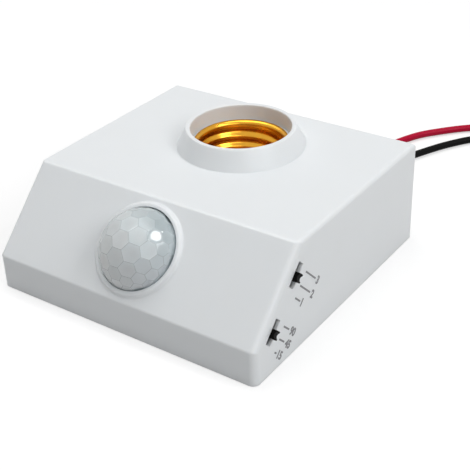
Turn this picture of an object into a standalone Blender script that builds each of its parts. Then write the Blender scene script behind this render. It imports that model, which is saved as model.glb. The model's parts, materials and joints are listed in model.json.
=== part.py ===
"""A motion sensor lamp holder: a square moulded housing with an E27 screw socket in its flat
top, a domed lens over a motion sensor in its sloping front, two slide switches in its right
side and two leads out of its back.

Lengths are in metres. The origin is at the centre of the underside, +Z is up, the lens faces -Y
and the switches face +X.
"""

import math

import bmesh
import bpy
from mathutils import Matrix, Vector, geometry

# Clearance between pieces that rest on each other or fit in each other
GAP = 0.0003

# Housing
WIDTH = 0.0900
DEPTH = 0.0880
TOP_Z = 0.03225
LIP_HEIGHT = 0.01058
SLOPE_ANGLE = math.radians(45.1)
WALL = 0.0020
CORNER_RADIUS = 0.0035
SIDE_EDGE_RADIUS = 0.0018
SLOPE_TOP_RADIUS = 0.0013
LIP_EDGE_RADIUS = 0.0007
EDGE_SEGMENTS = 4
FRONT_Y = -DEPTH / 2
BACK_Y = DEPTH / 2
SIDE_X = WIDTH / 2

# Socket collar and well
SOCKET_TO_BACK = 0.02681
SOCKET_Y = BACK_Y - SOCKET_TO_BACK
RIM_Z = 0.0382
RIM_RADIUS = 0.01670
RIM_ROUNDING = 0.0003
COLLAR_RADIUS = 0.01940
COLLAR_FILLET = 0.0004
MOUTH_RADIUS = 0.01522
MOUTH_CHAMFER = 0.0004
WELL_WALL = 0.0020
WELL_BOTTOM_Z = 0.0093
ROUND_SIDES = 48
POST_SIDES = 16
HOLE_SIDES = 12

# Rolled screw shell
SHELL_TOP_Z = 0.0336
SHELL_SHEET = 0.00035
THREAD_PITCH = 0.00362
THREAD_CREST_RADIUS = 0.01335
THREAD_ROOT_RADIUS = 0.01235
SHELL_RIM_RADIUS = 0.0143
SHELL_FLARE = 0.0012
THREAD_SIDES = 32
ROWS_PER_PITCH = 4
WELL_RADIUS = THREAD_CREST_RADIUS + SHELL_SHEET + GAP
WELL_OUTER_RADIUS = WELL_RADIUS + WELL_WALL
LEDGE_Z = SHELL_TOP_Z - SHELL_SHEET - GAP

# Socket insulator and contacts
INSULATOR_THICKNESS = 0.0026
PLUG_HEIGHT = 0.0012
SOCKET_EAR_X = 0.0192
SOCKET_EAR_RADIUS = 0.0030
CONTACT_SHEET = 0.0004
CONTACT_WIDTH = 0.0050
CONTACT_RISE = 0.0026
CONTACT_RIVET_X = -0.0080
SHELL_RIVET_X = 0.0098
SHELL_STRIP_HEIGHT = 0.0042
RIVET_RADIUS = 0.0008
RIVET_HEAD_RADIUS = 0.0015
RIVET_HEAD_HEIGHT = 0.0005
INSULATOR_TOP_Z = WELL_BOTTOM_Z - GAP
INSULATOR_BOTTOM_Z = INSULATOR_TOP_Z - INSULATOR_THICKNESS
PLUG_TOP_Z = INSULATOR_TOP_Z + PLUG_HEIGHT
SHELL_BOTTOM_Z = PLUG_TOP_Z + GAP

# Lens on the slope: along is measured up the slope from its lower edge
LENS_ALONG = 0.0152
LENS_RADIUS = 0.01192
DOME_RADIUS = 0.01248
DOME_FOOT = 0.0009
LENS_WALL = 0.0008
CELL_ANGLE = math.radians(23.0)
CELL_SAG = 0.00017
CELL_RINGS = 3
LENS_FLANGE_RADIUS = 0.0140
LENS_FLANGE = 0.0010
RING_RADIUS = 0.0134
RING_HEIGHT = 0.0010
RING_ROUNDING = 0.0006
RING_FILLET = 0.0008
SEAT_RIM = 0.0008
SEAT_DEPTH = 0.0036
INSIDE_RINGS = 5
INSIDE_SIDES = 28

# Motion sensor and light sensor
SENSOR_RADIUS = 0.00405
SENSOR_HEIGHT = 0.0042
SENSOR_RIM = 0.0005
WINDOW_HALF_LENGTH = 0.0020
WINDOW_HALF_WIDTH = 0.0015
CELL_SENSOR_RADIUS = 0.0025
CELL_SENSOR_HEIGHT = 0.0030
CELL_SENSOR_X = 0.0078

# Slide switches, their slots in the right side, and their knobs
LIGHT_SLOT_ALONG = 0.02305
DELAY_SLOT_ALONG = 0.00728
SLOT_LENGTH = 0.0071
SLOT_HEIGHT = 0.0026
SLOT_DEPTH = 0.0049
KNOB_SHIFT = -0.0004
KNOB_LENGTH = 0.0025
KNOB_THICKNESS = 0.0019
KNOB_REACH = 0.00135
KNOB_SADDLE = 0.0005
SLIDER_LENGTH = 0.0044
SLIDER_THICKNESS = 0.0028
SLIDER_WIDTH = 0.0024
KNOB_TRAVEL = 0.0015
SWITCH_LENGTH = 0.0096
SWITCH_WIDTH = 0.0058
SWITCH_HEIGHT = 0.0042
SWITCH_SHEET = 0.0003
SWITCH_BASE = 0.0010
SWITCH_TO_WALL = 0.0016
PIN = 0.0005
PIN_PITCH = 0.0025
PIN_REACH = 0.0008
PIN_PAST_BOARD = 0.0008

# Boards
BOARD = 0.0016
BOARD_TO_WALL = 0.0018
BOARD_TO_LEFT_WALL = 0.0050
SENSOR_BOARD_LEFT_X = -(SIDE_X - WALL - BOARD_TO_LEFT_WALL)
SENSOR_BOARD_RIGHT_X = SIDE_X - WALL - BOARD_TO_WALL
SENSOR_BOARD_LOW = 0.0020
SENSOR_BOARD_HIGH = 0.0290
SENSOR_BOARD_DEPTH = 0.0074
BOARD_CORNER = 0.0030
LEAD_SPACE = 0.0090
POWER_BOARD_REACH = 0.0302
NOTCH_CLEARANCE = 0.0004
WELL_TO_BOARD = 0.0020
POWER_BOARD_Z = 0.0055
POWER_BOARD_TOP_Z = POWER_BOARD_Z + BOARD
POWER_BOARD_X = SIDE_X - WALL - BOARD_TO_WALL
POWER_BOARD_FRONT_Y = SOCKET_Y - POWER_BOARD_REACH
POWER_BOARD_BACK_Y = BACK_Y - WALL - LEAD_SPACE
BOARD_NOTCH_X = SOCKET_EAR_X + SOCKET_EAR_RADIUS + NOTCH_CLEARANCE
BOARD_NOTCH_Y = SOCKET_Y - WELL_OUTER_RADIUS - WELL_TO_BOARD
LEG_X = (BOARD_NOTCH_X + POWER_BOARD_X) / 2

# Parts on the power board, by width, depth and height, and their distance behind its notch
PART_FOOT_Z = POWER_BOARD_TOP_Z + GAP
RELAY = (0.0072, 0.0205, 0.0153)
RELAY_BEHIND = 0.0113
FILM_CAPACITOR = (0.0060, 0.0130, 0.0120)
FILM_CAPACITOR_BEHIND = 0.0083
FILTER_RADIUS = 0.00315
FILTER_HEIGHT = 0.0110
FILTER_BEHIND = 0.0198
FILTER_GROOVE = 0.0004
FILTER_GROOVE_Z = 0.0025
VARISTOR_RADIUS = 0.0035
VARISTOR_THICKNESS = 0.0034
VARISTOR_X = 0.0205
VARISTOR_AHEAD = 0.0068
DIODE_RADIUS = 0.00135
DIODE_LENGTH = 0.0052
DIODE_WIRE = 0.0004
DIODE_REACH = 0.0045
DIODE_X = -0.0160
DIODE_PITCH = 0.0045
DIODE_BEHIND_FRONT = 0.0060
LAND_TO_BOARD_BACK = 0.0083
LAND_Y = POWER_BOARD_BACK_Y - LAND_TO_BOARD_BACK
CONTACT_LAND_X = 0.0145
CONTACT_LAND_Y = BOARD_NOTCH_Y - 0.0028

# Chip on the back of the sensor board, and the ribbon between the boards
CHIP = (0.0194, 0.0064, 0.0034)
CHIP_X = -0.0090
CHIP_ALONG = 0.0220
LINK_X = 0.0100
LINK_WIDTH = 0.0076
LINK_THICKNESS = 0.0009
LINK_ALONG = 0.0090
LINK_LEAVE = 0.0022
LINK_BEHIND_FRONT = 0.0015
LINK_LEAN = 0.0004
LINK_RISE = 0.0038
LINK_BENDS = ((0.38, -0.0002), (0.73, 0.0013))
LINK_STEP = 0.0016

# Screws and the posts that they enter
SCREW_RADIUS = 0.0011
SCREW_HEAD_RADIUS = 0.0021
SCREW_HEAD_HEIGHT = 0.0012
SCREW_DRIVE = 0.0006
BOARD_SCREW_LENGTH = 0.0065
SOCKET_SCREW_LENGTH = 0.0090
POST_WALL = 0.0012
SCREW_HOLE_RADIUS = SCREW_RADIUS + GAP
POST_RADIUS = SCREW_HOLE_RADIUS + POST_WALL
POST_INSET = 0.0040
LEFT_POST_INSET = 0.0070
RIGHT_POST_INSET = 0.0162
LOW_POST_ALONG = 0.0065
HIGH_POST_ALONG = SENSOR_BOARD_HIGH - POST_INSET
LEFT_POST_X = SENSOR_BOARD_LEFT_X + LEFT_POST_INSET
RIGHT_POST_X = SENSOR_BOARD_RIGHT_X - RIGHT_POST_INSET
SENSOR_POSTS = (
    (LEFT_POST_X, LOW_POST_ALONG),
    (LEFT_POST_X, HIGH_POST_ALONG),
    (RIGHT_POST_X, HIGH_POST_ALONG),
)
POWER_POSTS = tuple(
    (side * (POWER_BOARD_X - POST_INSET), y)
    for y in (POWER_BOARD_FRONT_Y + POST_INSET, POWER_BOARD_BACK_Y - POST_INSET)
    for side in (-1, 1)
)

# Base plate
PLATE = 0.0020
BASE_SCREW_INSET = 0.0068
BASE_SCREW_X = SIDE_X - BASE_SCREW_INSET
BASE_SCREW_Y = BACK_Y - BASE_SCREW_INSET
BASE_SCREW_RADIUS = 0.0014
BASE_SCREW_HEAD_RADIUS = 0.0025
BASE_SCREW_LENGTH = 0.0100
BASE_BOSS_WALL = 0.0016
BOSS_WEB = 0.0012
CUP_TOP_Z = 0.0039
CUP_FLOOR = 0.0016
CUP_WALL = 0.0013
PLATE_RIB_X = 0.0140
PLATE_RIB = 0.0012
PLATE_RIB_TOP_Z = 0.0034
PLATE_RIB_INSET = 0.0050
HOOK_X = 0.0180
HOOK_WIDTH = 0.0080
HOOK_THICKNESS = 0.0013
LEDGE_REACH = 0.0015
LEDGE_LOW_Z = 0.0032
LEDGE_THICKNESS = 0.0012
KEYHOLE_X = 0.0250
KEYHOLE_Y = -0.0240
KEYHOLE_RADIUS = 0.0040
KEYHOLE_SLOT = 0.0042
KEYHOLE_LENGTH = 0.0080

# Leads
LEAD_RADIUS = 0.00125
TIP_RADIUS = 0.0006
TIP_LENGTH = 0.0070
INNER_LEAD_RADIUS = 0.0008
LEAD_HOLE_Z = 0.0042
RED_HOLE_X = 0.0030
BLACK_HOLE_X = 0.0090
LEAD_STEP = 0.0036
INNER_STEP = 0.0019
LYING_Z = LEAD_RADIUS + 0.00005

# The inner leads' bends, outwards, backwards and upwards from the place where each starts or ends
BEHIND_HOLE = ((0, 0, 0), (0, -0.0030, 0), (0.0030, -0.0052, 0.0010), (0.0090, -0.0068, 0.0044))
ABOVE_SUPPLY_LAND = (
    (-0.0129, 0.0099, 0.0042),
    (-0.0062, 0.0060, 0.0054),
    (-0.0030, 0.0020, 0.0050),
    (0, 0, 0.0034),
    (0, 0, 0.0017),
    (0, 0, 0),
)
UNDER_WELL = ((0.0142, -0.0020, -0.0003), (0.0152, -0.0062, -0.0003), (0.0148, -0.0114, 0.0011))
ABOVE_CONTACT_LAND = (
    (0, 0.0050, 0.0017),
    (0, 0.0012, 0.0036),
    (0, 0, 0.0020),
    (0, 0, 0.0010),
    (0, 0, 0),
)

SWITCHES = (("light", LIGHT_SLOT_ALONG), ("delay", DELAY_SLOT_ALONG))
QUARTER_TURNS = ((1, 0), (0, 1), (-1, 0), (0, -1))

MATERIALS = {
    "white_plastic": ((0.86, 0.87, 0.87), 0.35, 0.0),
    "black_plastic": ((0.02, 0.02, 0.02), 0.45, 0.0),
    "cream_plastic": ((0.82, 0.76, 0.62), 0.50, 0.0),
    "blue_plastic": ((0.05, 0.12, 0.35), 0.45, 0.0),
    "yellow_plastic": ((0.75, 0.55, 0.10), 0.45, 0.0),
    "lens": ((0.80, 0.83, 0.82), 0.30, 0.0),
    "brass": ((0.85, 0.60, 0.20), 0.25, 1.0),
    "steel": ((0.65, 0.65, 0.66), 0.35, 1.0),
    "tinned_copper": ((0.75, 0.74, 0.72), 0.30, 1.0),
    "board": ((0.45, 0.27, 0.10), 0.60, 0.0),
    "red_insulation": ((0.70, 0.02, 0.05), 0.40, 0.0),
    "black_insulation": ((0.02, 0.02, 0.02), 0.40, 0.0),
    "grey_ribbon": ((0.45, 0.45, 0.47), 0.55, 0.0),
}


def clear_scene():
    for obj in list(bpy.data.objects):
        bpy.data.objects.remove(obj, do_unlink=True)


def make_collection(name):
    collection = bpy.data.collections.new(name)
    bpy.context.scene.collection.children.link(collection)
    return collection


def make_material(name):
    colour, roughness, metallic = MATERIALS[name]
    material = bpy.data.materials.new(name)
    material.use_nodes = True
    shader = material.node_tree.nodes["Principled BSDF"]
    shader.inputs["Base Color"].default_value = (*colour, 1.0)
    shader.inputs["Roughness"].default_value = roughness
    shader.inputs["Metallic"].default_value = metallic
    material.diffuse_color = (*colour, 1.0)
    return material


def make_frame(name, location, rotation, parent=None):
    frame = bpy.data.objects.new(name, None)
    frame.empty_display_size = 0.01
    frame.location = location
    frame.rotation_euler = rotation
    frame.parent = parent
    PARTS.objects.link(frame)
    return frame


def add(obj, material=None, parent=None, location=None, rotation=None):
    """Puts an object among the parts, or among the cutters if it has no material."""
    if location is not None:
        obj.location = location
    if rotation is not None:
        obj.rotation_euler = rotation
    obj.parent = parent
    if material is None:
        CUTTERS.objects.link(obj)
        obj.hide_render = True
        obj.display_type = "WIRE"
        return obj
    obj.data.materials.append(bpy.data.materials.get(material) or make_material(material))
    PARTS.objects.link(obj)
    return obj


def mesh_object(name, bm):
    """An object from a bmesh, with its faces pointing out."""
    bmesh.ops.recalc_face_normals(bm, faces=bm.faces)
    mesh = bpy.data.meshes.new(name)
    bm.to_mesh(mesh)
    bm.free()
    mesh.set_sharp_from_angle(angle=math.radians(35))
    return bpy.data.objects.new(name, mesh)


def box(name, low, high, rounding=0.0):
    """A block between two corners, with its edges rounded."""
    bm = bmesh.new()
    bmesh.ops.create_cube(bm, size=1.0)
    low, high = Vector(low), Vector(high)
    bmesh.ops.scale(bm, vec=high - low, verts=bm.verts)
    bmesh.ops.translate(bm, vec=(high + low) / 2, verts=bm.verts)
    if rounding:
        bmesh.ops.bevel(bm, geom=bm.edges, offset=rounding, segments=2, profile=0.5, affect="EDGES")
    return mesh_object(name, bm)


def cylinder(name, radius, low, high, sides=POST_SIDES):
    """A round bar along Z between two heights."""
    bm = bmesh.new()
    bmesh.ops.create_cone(
        bm, cap_ends=True, segments=sides, radius1=radius, radius2=radius, depth=high - low
    )
    bmesh.ops.translate(bm, vec=(0, 0, (high + low) / 2), verts=bm.verts)
    return mesh_object(name, bm)


def prism(name, outline, low, high):
    """A flat outline in X and Y, extruded from one height to another."""
    bm = bmesh.new()
    face = bm.faces.new([bm.verts.new((x, y, low)) for x, y in outline])
    raised = bmesh.ops.extrude_face_region(bm, geom=[face])["geom"]
    moved = [item for item in raised if isinstance(item, bmesh.types.BMVert)]
    bmesh.ops.translate(bm, vec=(0, 0, high - low), verts=moved)
    return mesh_object(name, bm)


def turned(name, profile, sides=ROUND_SIDES):
    """A profile of (radius, height) turned about Z. One that starts or ends off the axis is a
    ring, and its ends are joined."""
    mesh = bpy.data.meshes.new(name)
    points = [(radius, 0.0, height) for radius, height in profile]
    edges = [(i, i + 1) for i in range(len(points) - 1)]
    if profile[0][0] > 0:
        edges.append((len(points) - 1, 0))
    mesh.from_pydata(points, edges, [])
    obj = bpy.data.objects.new(name, mesh)
    screw = obj.modifiers.new("Turn", "SCREW")
    screw.steps = sides
    screw.render_steps = sides
    screw.use_merge_vertices = True
    screw.merge_threshold = 0.000001
    screw.use_smooth_shade = True
    return obj


def arc(centre, radius, start, end, count):
    """Points on an arc in a profile, from one angle in degrees to another."""
    angles = [math.radians(start + (end - start) * i / count) for i in range(count + 1)]
    return [(centre[0] + radius * math.cos(a), centre[1] + radius * math.sin(a)) for a in angles]


def boolean(obj, tool, operation):
    modifier = obj.modifiers.new(tool.name, "BOOLEAN")
    modifier.operation = operation
    modifier.solver = "EXACT"
    modifier.object = tool


def cut(obj, tool):
    boolean(obj, tool, "DIFFERENCE")


def join(obj, tool):
    boolean(obj, tool, "UNION")


def smooth_route(points, step):
    """Evenly spaced points on a smooth curve through the given points."""
    knots = [Vector(p) for p in points]
    knots = [2 * knots[0] - knots[1], *knots, 2 * knots[-1] - knots[-2]]
    fine = []
    for before, start, end, after in zip(knots, knots[1:], knots[2:], knots[3:]):
        for i in range(24):
            t = i / 24
            bend = (2 * before - 5 * start + 4 * end - after) * t * t
            twist = (3 * start - before - 3 * end + after) * t**3
            fine.append((2 * start + (end - before) * t + bend + twist) / 2)
    fine.append(knots[-2])
    length = sum((b - a).length for a, b in zip(fine, fine[1:]))
    count = max(2, round(length / step))
    route, travelled, wanted = [fine[0]], 0.0, length / count
    for a, b in zip(fine, fine[1:]):
        stretch = (b - a).length
        while travelled + stretch >= wanted * len(route) and len(route) < count:
            share = (wanted * len(route) - travelled) / stretch
            route.append(a.lerp(b, share))
        travelled += stretch
    route.append(fine[-1])
    return route


def tube(name, points, radius, material, parent=None):
    """A round wire along the points, closed at both ends."""
    data = bpy.data.curves.new(name, "CURVE")
    data.dimensions = "3D"
    data.bevel_depth = radius
    data.bevel_resolution = 2
    data.use_fill_caps = True
    spline = data.splines.new("POLY")
    spline.points.add(len(points) - 1)
    for target, point in zip(spline.points, points):
        target.co = (*point, 1.0)
    return add(bpy.data.objects.new(name, data), material, parent)


def strip(name, path, width, sheet, material, parent=None):
    """A sheet bent along a path in X and Z, as wide along Y as given, path at its middle."""
    bm = bmesh.new()
    rows = [[bm.verts.new((x, side * width / 2, z)) for side in (-1, 1)] for x, z in path]
    for a, b in zip(rows, rows[1:]):
        bm.faces.new((a[0], b[0], b[1], a[1]))
    mesh = bpy.data.meshes.new(name)
    bm.to_mesh(mesh)
    bm.free()
    obj = bpy.data.objects.new(name, mesh)
    solidify = obj.modifiers.new("Sheet", "SOLIDIFY")
    solidify.thickness = sheet
    solidify.offset = 0.0
    solidify.use_even_offset = True
    return add(obj, material, parent)


def side_outline(inset, bottom):
    """The housing's side outline in Y and Z, moved inwards, from front bottom to back bottom."""
    sine, cosine = math.sin(SLOPE_ANGLE), math.cos(SLOPE_ANGLE)
    front = FRONT_Y + inset
    top = TOP_Z - inset
    low_along = inset * (1 - sine) / cosine
    high_along = (top - LIP_HEIGHT + inset * cosine) / sine
    return (
        (front, bottom),
        (front, LIP_HEIGHT + low_along * sine - inset * cosine),
        (FRONT_Y + high_along * cosine + inset * sine, top),
        (BACK_Y - inset, top),
        (BACK_Y - inset, bottom),
    )


def housing_block(name, inset, bottom, corner, side_edge, slope_top, lip):
    """The housing's outer form, or its hollow, with a radius on each kind of edge."""
    outline = side_outline(inset, bottom)
    half = SIDE_X - inset
    bm = bmesh.new()
    weight = bm.edges.layers.float.new("bevel_weight_edge")
    face = bm.faces.new([bm.verts.new((-half, y, z)) for y, z in outline])
    raised = bmesh.ops.extrude_face_region(bm, geom=[face])["geom"]
    moved = [item for item in raised if isinstance(item, bmesh.types.BMVert)]
    bmesh.ops.translate(bm, vec=(2 * half, 0, 0), verts=moved)
    across = (0.0, lip, slope_top, side_edge, 0.0)
    along = (corner, side_edge, side_edge, corner, 0.0)
    places = [Vector((y, z)) for y, z in outline]
    for edge in bm.edges:
        ends = [
            min(range(5), key=lambda i: (places[i] - vert.co.yz).length) for vert in edge.verts
        ]
        if ends[0] == ends[1]:
            radius = across[ends[0]]
        elif set(ends) == {0, 4}:
            radius = along[4]
        else:
            radius = along[min(ends)]
        edge[weight] = radius / corner
    obj = mesh_object(name, bm)
    bevel = obj.modifiers.new("Edges", "BEVEL")
    bevel.width = corner
    bevel.segments = EDGE_SEGMENTS
    bevel.limit_method = "WEIGHT"
    return obj


def socket_column():
    """The collar above the roof and the well below it, before the bore is cut."""
    fillet_foot = COLLAR_RADIUS + COLLAR_FILLET
    fillet = arc((fillet_foot, TOP_Z + COLLAR_FILLET), COLLAR_FILLET, 180, 270, 4)
    profile = [
        (0, RIM_Z),
        *arc((RIM_RADIUS - RIM_ROUNDING, RIM_Z - RIM_ROUNDING), RIM_ROUNDING, 90, 10, 3),
        *fillet[:-1],
        (fillet_foot, TOP_Z - WALL / 8),
        (fillet_foot, TOP_Z - WALL / 2),
        (WELL_OUTER_RADIUS, TOP_Z - WALL / 2),
        (WELL_OUTER_RADIUS, WELL_BOTTOM_Z),
        (0, WELL_BOTTOM_Z),
    ]
    return add(turned("socket_column", profile), location=(0, SOCKET_Y, 0))


def socket_bore():
    """The space inside the collar and the well, with a ledge under the shell's rim."""
    past = 0.001
    profile = [
        (0, RIM_Z + past),
        (MOUTH_RADIUS + MOUTH_CHAMFER + past, RIM_Z + past),
        (MOUTH_RADIUS, RIM_Z - MOUTH_CHAMFER),
        (MOUTH_RADIUS, LEDGE_Z),
        (WELL_RADIUS, LEDGE_Z),
        (WELL_RADIUS, WELL_BOTTOM_Z - past),
        (0, WELL_BOTTOM_Z - past),
    ]
    return add(turned("socket_bore", profile), location=(0, SOCKET_Y, 0))


def lens_ring(slope):
    """The low, rounded ring round the lens, before its hole is cut."""
    foot = RING_RADIUS + RING_FILLET
    shoulder = (RING_RADIUS - RING_ROUNDING, RING_HEIGHT - RING_ROUNDING)
    profile = [
        (0, RING_HEIGHT),
        *arc(shoulder, RING_ROUNDING, 90, 30, 3),
        *arc((foot, RING_FILLET), RING_FILLET, 200, 262, 3),
        (foot, -WALL / 8),
        (foot, -WALL / 2),
        (0, -WALL / 2),
    ]
    return add(turned("lens_ring", profile), parent=slope, location=(0, LENS_ALONG, 0))


def lens_seat(slope):
    """The low rim behind the slope that keeps the lens's flange in its place."""
    inner = LENS_FLANGE_RADIUS + GAP
    outer = inner + SEAT_RIM
    profile = [(inner, -WALL / 2), (outer, -WALL / 2), (outer, -SEAT_DEPTH), (inner, -SEAT_DEPTH)]
    return add(turned("lens_seat", profile, INSIDE_SIDES), None, slope, (0, LENS_ALONG, 0))


def lens_hole(slope):
    reach = 2 * WALL
    hole = cylinder("lens_hole", LENS_RADIUS + GAP, -reach, reach, ROUND_SIDES)
    return add(hole, parent=slope, location=(0, LENS_ALONG, 0))


def switch_slot(name, along, slope):
    low = (SIDE_X - 2 * WALL, along - SLOT_LENGTH / 2, -SLOT_DEPTH - SLOT_HEIGHT / 2)
    high = (SIDE_X + WALL, along + SLOT_LENGTH / 2, -SLOT_DEPTH + SLOT_HEIGHT / 2)
    return add(box(name, low, high), parent=slope)


def roof_post(name, x, y, radius, bottom):
    return add(cylinder(name, radius, bottom, TOP_Z - WALL / 2), location=(x, y, 0))


def pilot_hole(name, x, y, radius, bottom, depth):
    past = 0.001
    return add(cylinder(name, radius, bottom - past, bottom + depth, HOLE_SIDES), location=(x, y, 0))


def base_boss_radius():
    return BASE_SCREW_RADIUS + GAP + BASE_BOSS_WALL


def housing(slope):
    body = housing_block(
        "housing", 0.0, 0.0, CORNER_RADIUS, SIDE_EDGE_RADIUS, SLOPE_TOP_RADIUS, LIP_EDGE_RADIUS
    )
    add(body, "white_plastic")
    inner_corner = CORNER_RADIUS - WALL
    hollow = housing_block("housing_hollow", WALL, -WALL, inner_corner, 0.0, 0.0, 0.0)
    cut(body, add(hollow))
    join(body, socket_column())
    join(body, lens_ring(slope))
    join(body, lens_seat(slope))
    for side in (-1, 1):
        low = (side * HOOK_X - HOOK_WIDTH / 2 - GAP, FRONT_Y + WALL / 2, LEDGE_LOW_Z)
        high_y = FRONT_Y + WALL + LEDGE_REACH
        high = (side * HOOK_X + HOOK_WIDTH / 2 + GAP, high_y, LEDGE_LOW_Z + LEDGE_THICKNESS)
        join(body, add(box(f"hook_ledge_{side}", low, high)))
        x, y, bottom = side * BASE_SCREW_X, BASE_SCREW_Y, CUP_TOP_Z + GAP
        join(body, roof_post(f"base_boss_{side}", x, y, base_boss_radius(), bottom))
        low = (min(x, side * (SIDE_X - WALL / 2)), y - BOSS_WEB / 2, bottom)
        high = (max(x, side * (SIDE_X - WALL / 2)), y + BOSS_WEB / 2, TOP_Z - WALL / 2)
        join(body, add(box(f"side_web_{side}", low, high)))
        low = (x - BOSS_WEB / 2, y, bottom)
        high = (x + BOSS_WEB / 2, BACK_Y - WALL / 2, TOP_Z - WALL / 2)
        join(body, add(box(f"back_web_{side}", low, high)))
        hole = BASE_SCREW_RADIUS + GAP
        cut(body, pilot_hole(f"base_pilot_{side}", x, y, hole, bottom, BASE_SCREW_LENGTH))
        x = side * SOCKET_EAR_X
        join(body, roof_post(f"socket_post_{side}", x, SOCKET_Y, POST_RADIUS, WELL_BOTTOM_Z))
        hole = SCREW_HOLE_RADIUS
        depth = SOCKET_SCREW_LENGTH
        cut(body, pilot_hole(f"socket_pilot_{side}", x, SOCKET_Y, hole, WELL_BOTTOM_Z, depth))
    for i, (x, y) in enumerate(POWER_POSTS):
        bottom = POWER_BOARD_TOP_Z + GAP
        join(body, roof_post(f"power_post_{i}", x, y, POST_RADIUS, bottom))
        cut(
            body,
            pilot_hole(f"power_pilot_{i}", x, y, SCREW_HOLE_RADIUS, bottom, BOARD_SCREW_LENGTH),
        )
    for i, (x, along) in enumerate(SENSOR_POSTS):
        end = -(SENSOR_BOARD_DEPTH - GAP)
        post = cylinder(f"sensor_post_{i}", POST_RADIUS, end, -WALL / 2)
        join(body, add(post, parent=slope, location=(x, along, 0)))
        pilot = cylinder(f"sensor_pilot_{i}", SCREW_HOLE_RADIUS, end - WALL, -WALL - GAP, HOLE_SIDES)
        cut(body, add(pilot, parent=slope, location=(x, along, 0)))
    cut(body, socket_bore())
    cut(body, lens_hole(slope))
    for name, along in SWITCHES:
        cut(body, switch_slot(f"{name}_slot", along, slope))
    for name, x in (("red_hole", RED_HOLE_X), ("black_hole", BLACK_HOLE_X)):
        hole = cylinder(name, LEAD_RADIUS + GAP, -2 * WALL, 2 * WALL)
        turn = (math.radians(90), 0, 0)
        cut(body, add(hole, location=(x, BACK_Y, LEAD_HOLE_Z), rotation=turn))


def keyhole(name, x):
    """A round entry with a slot behind it, for hanging the holder on a screw head."""
    half = KEYHOLE_SLOT / 2
    meet = math.degrees(math.asin(half / KEYHOLE_RADIUS))
    outline = [
        *arc((0, 0), KEYHOLE_RADIUS, 90 + meet, 450 - meet, 24),
        *arc((0, KEYHOLE_LENGTH), half, 0, 180, 8),
    ]
    return add(prism(name, outline, -PLATE, 2 * PLATE), location=(x, KEYHOLE_Y, 0))


def base_plate():
    half_x, half_y = SIDE_X - WALL - GAP, BACK_Y - WALL - GAP
    corner = CORNER_RADIUS - WALL
    outline = []
    for x, y, start in ((1, 1, 0), (-1, 1, 90), (-1, -1, 180), (1, -1, 270)):
        centre = (x * (half_x - corner), y * (half_y - corner))
        outline += arc(centre, corner, start, start + 90, 3)
    plate = add(prism("base_plate", outline, 0.0, PLATE), "white_plastic")
    hook_y = FRONT_Y + WALL + LEDGE_REACH + GAP
    nose_z = LEDGE_LOW_Z + LEDGE_THICKNESS + GAP
    for side in (-1, 1):
        x, end = side * PLATE_RIB_X, half_y - PLATE_RIB_INSET
        low, high = (x - PLATE_RIB / 2, -end, PLATE / 2), (x + PLATE_RIB / 2, end, PLATE_RIB_TOP_Z)
        join(plate, add(box(f"plate_rib_{side}", low, high)))
        low = (side * HOOK_X - HOOK_WIDTH / 2, hook_y, PLATE / 2)
        high_z = nose_z + HOOK_THICKNESS
        high = (side * HOOK_X + HOOK_WIDTH / 2, hook_y + HOOK_THICKNESS, high_z)
        join(plate, add(box(f"hook_{side}", low, high)))
        low = (low[0], FRONT_Y + WALL + GAP, nose_z)
        high = (high[0], hook_y + HOOK_THICKNESS / 2, high_z)
        join(plate, add(box(f"hook_nose_{side}", low, high)))
        recess = BASE_SCREW_HEAD_RADIUS + GAP
        floor = CUP_TOP_Z - CUP_FLOOR
        place = (side * BASE_SCREW_X, BASE_SCREW_Y, 0)
        cup = cylinder(f"screw_cup_{side}", recess + CUP_WALL, PLATE / 2, CUP_TOP_Z)
        join(plate, add(cup, location=place))
        cut(plate, add(cylinder(f"screw_recess_{side}", recess, -PLATE, floor), location=place))
        hole = cylinder(f"screw_hole_{side}", BASE_SCREW_RADIUS + GAP, 0.0, 2 * CUP_TOP_Z, HOLE_SIDES)
        cut(plate, add(hole, location=place))
        cut(plate, keyhole(f"keyhole_{side}", side * KEYHOLE_X))


def screw(name, place, length, radius, head_radius, parent=None, rotation=(0, 0, 0)):
    """A pan-head screw with a cross drive. Its origin is under the head, and it points to -Z."""
    top = SCREW_HEAD_HEIGHT
    profile = [
        (0, top),
        (head_radius * 0.80, top * 0.95),
        (head_radius, top * 0.50),
        (head_radius, 0),
        (radius, 0),
        (radius, -length + radius),
        (0, -length),
    ]
    obj = add(turned(name, profile, HOLE_SIDES), "steel", parent, place, rotation)
    half, reach = SCREW_DRIVE / 2, head_radius * 0.6
    arm = ((half, -half), (reach, -half), (reach, half))
    cross = [(x * c - y * s, x * s + y * c) for c, s in QUARTER_TURNS for x, y in arm]
    drive = prism(f"{name}_drive", cross, top / 2, 2 * top)
    cut(obj, add(drive, None, parent, place, rotation))
    return obj


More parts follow.
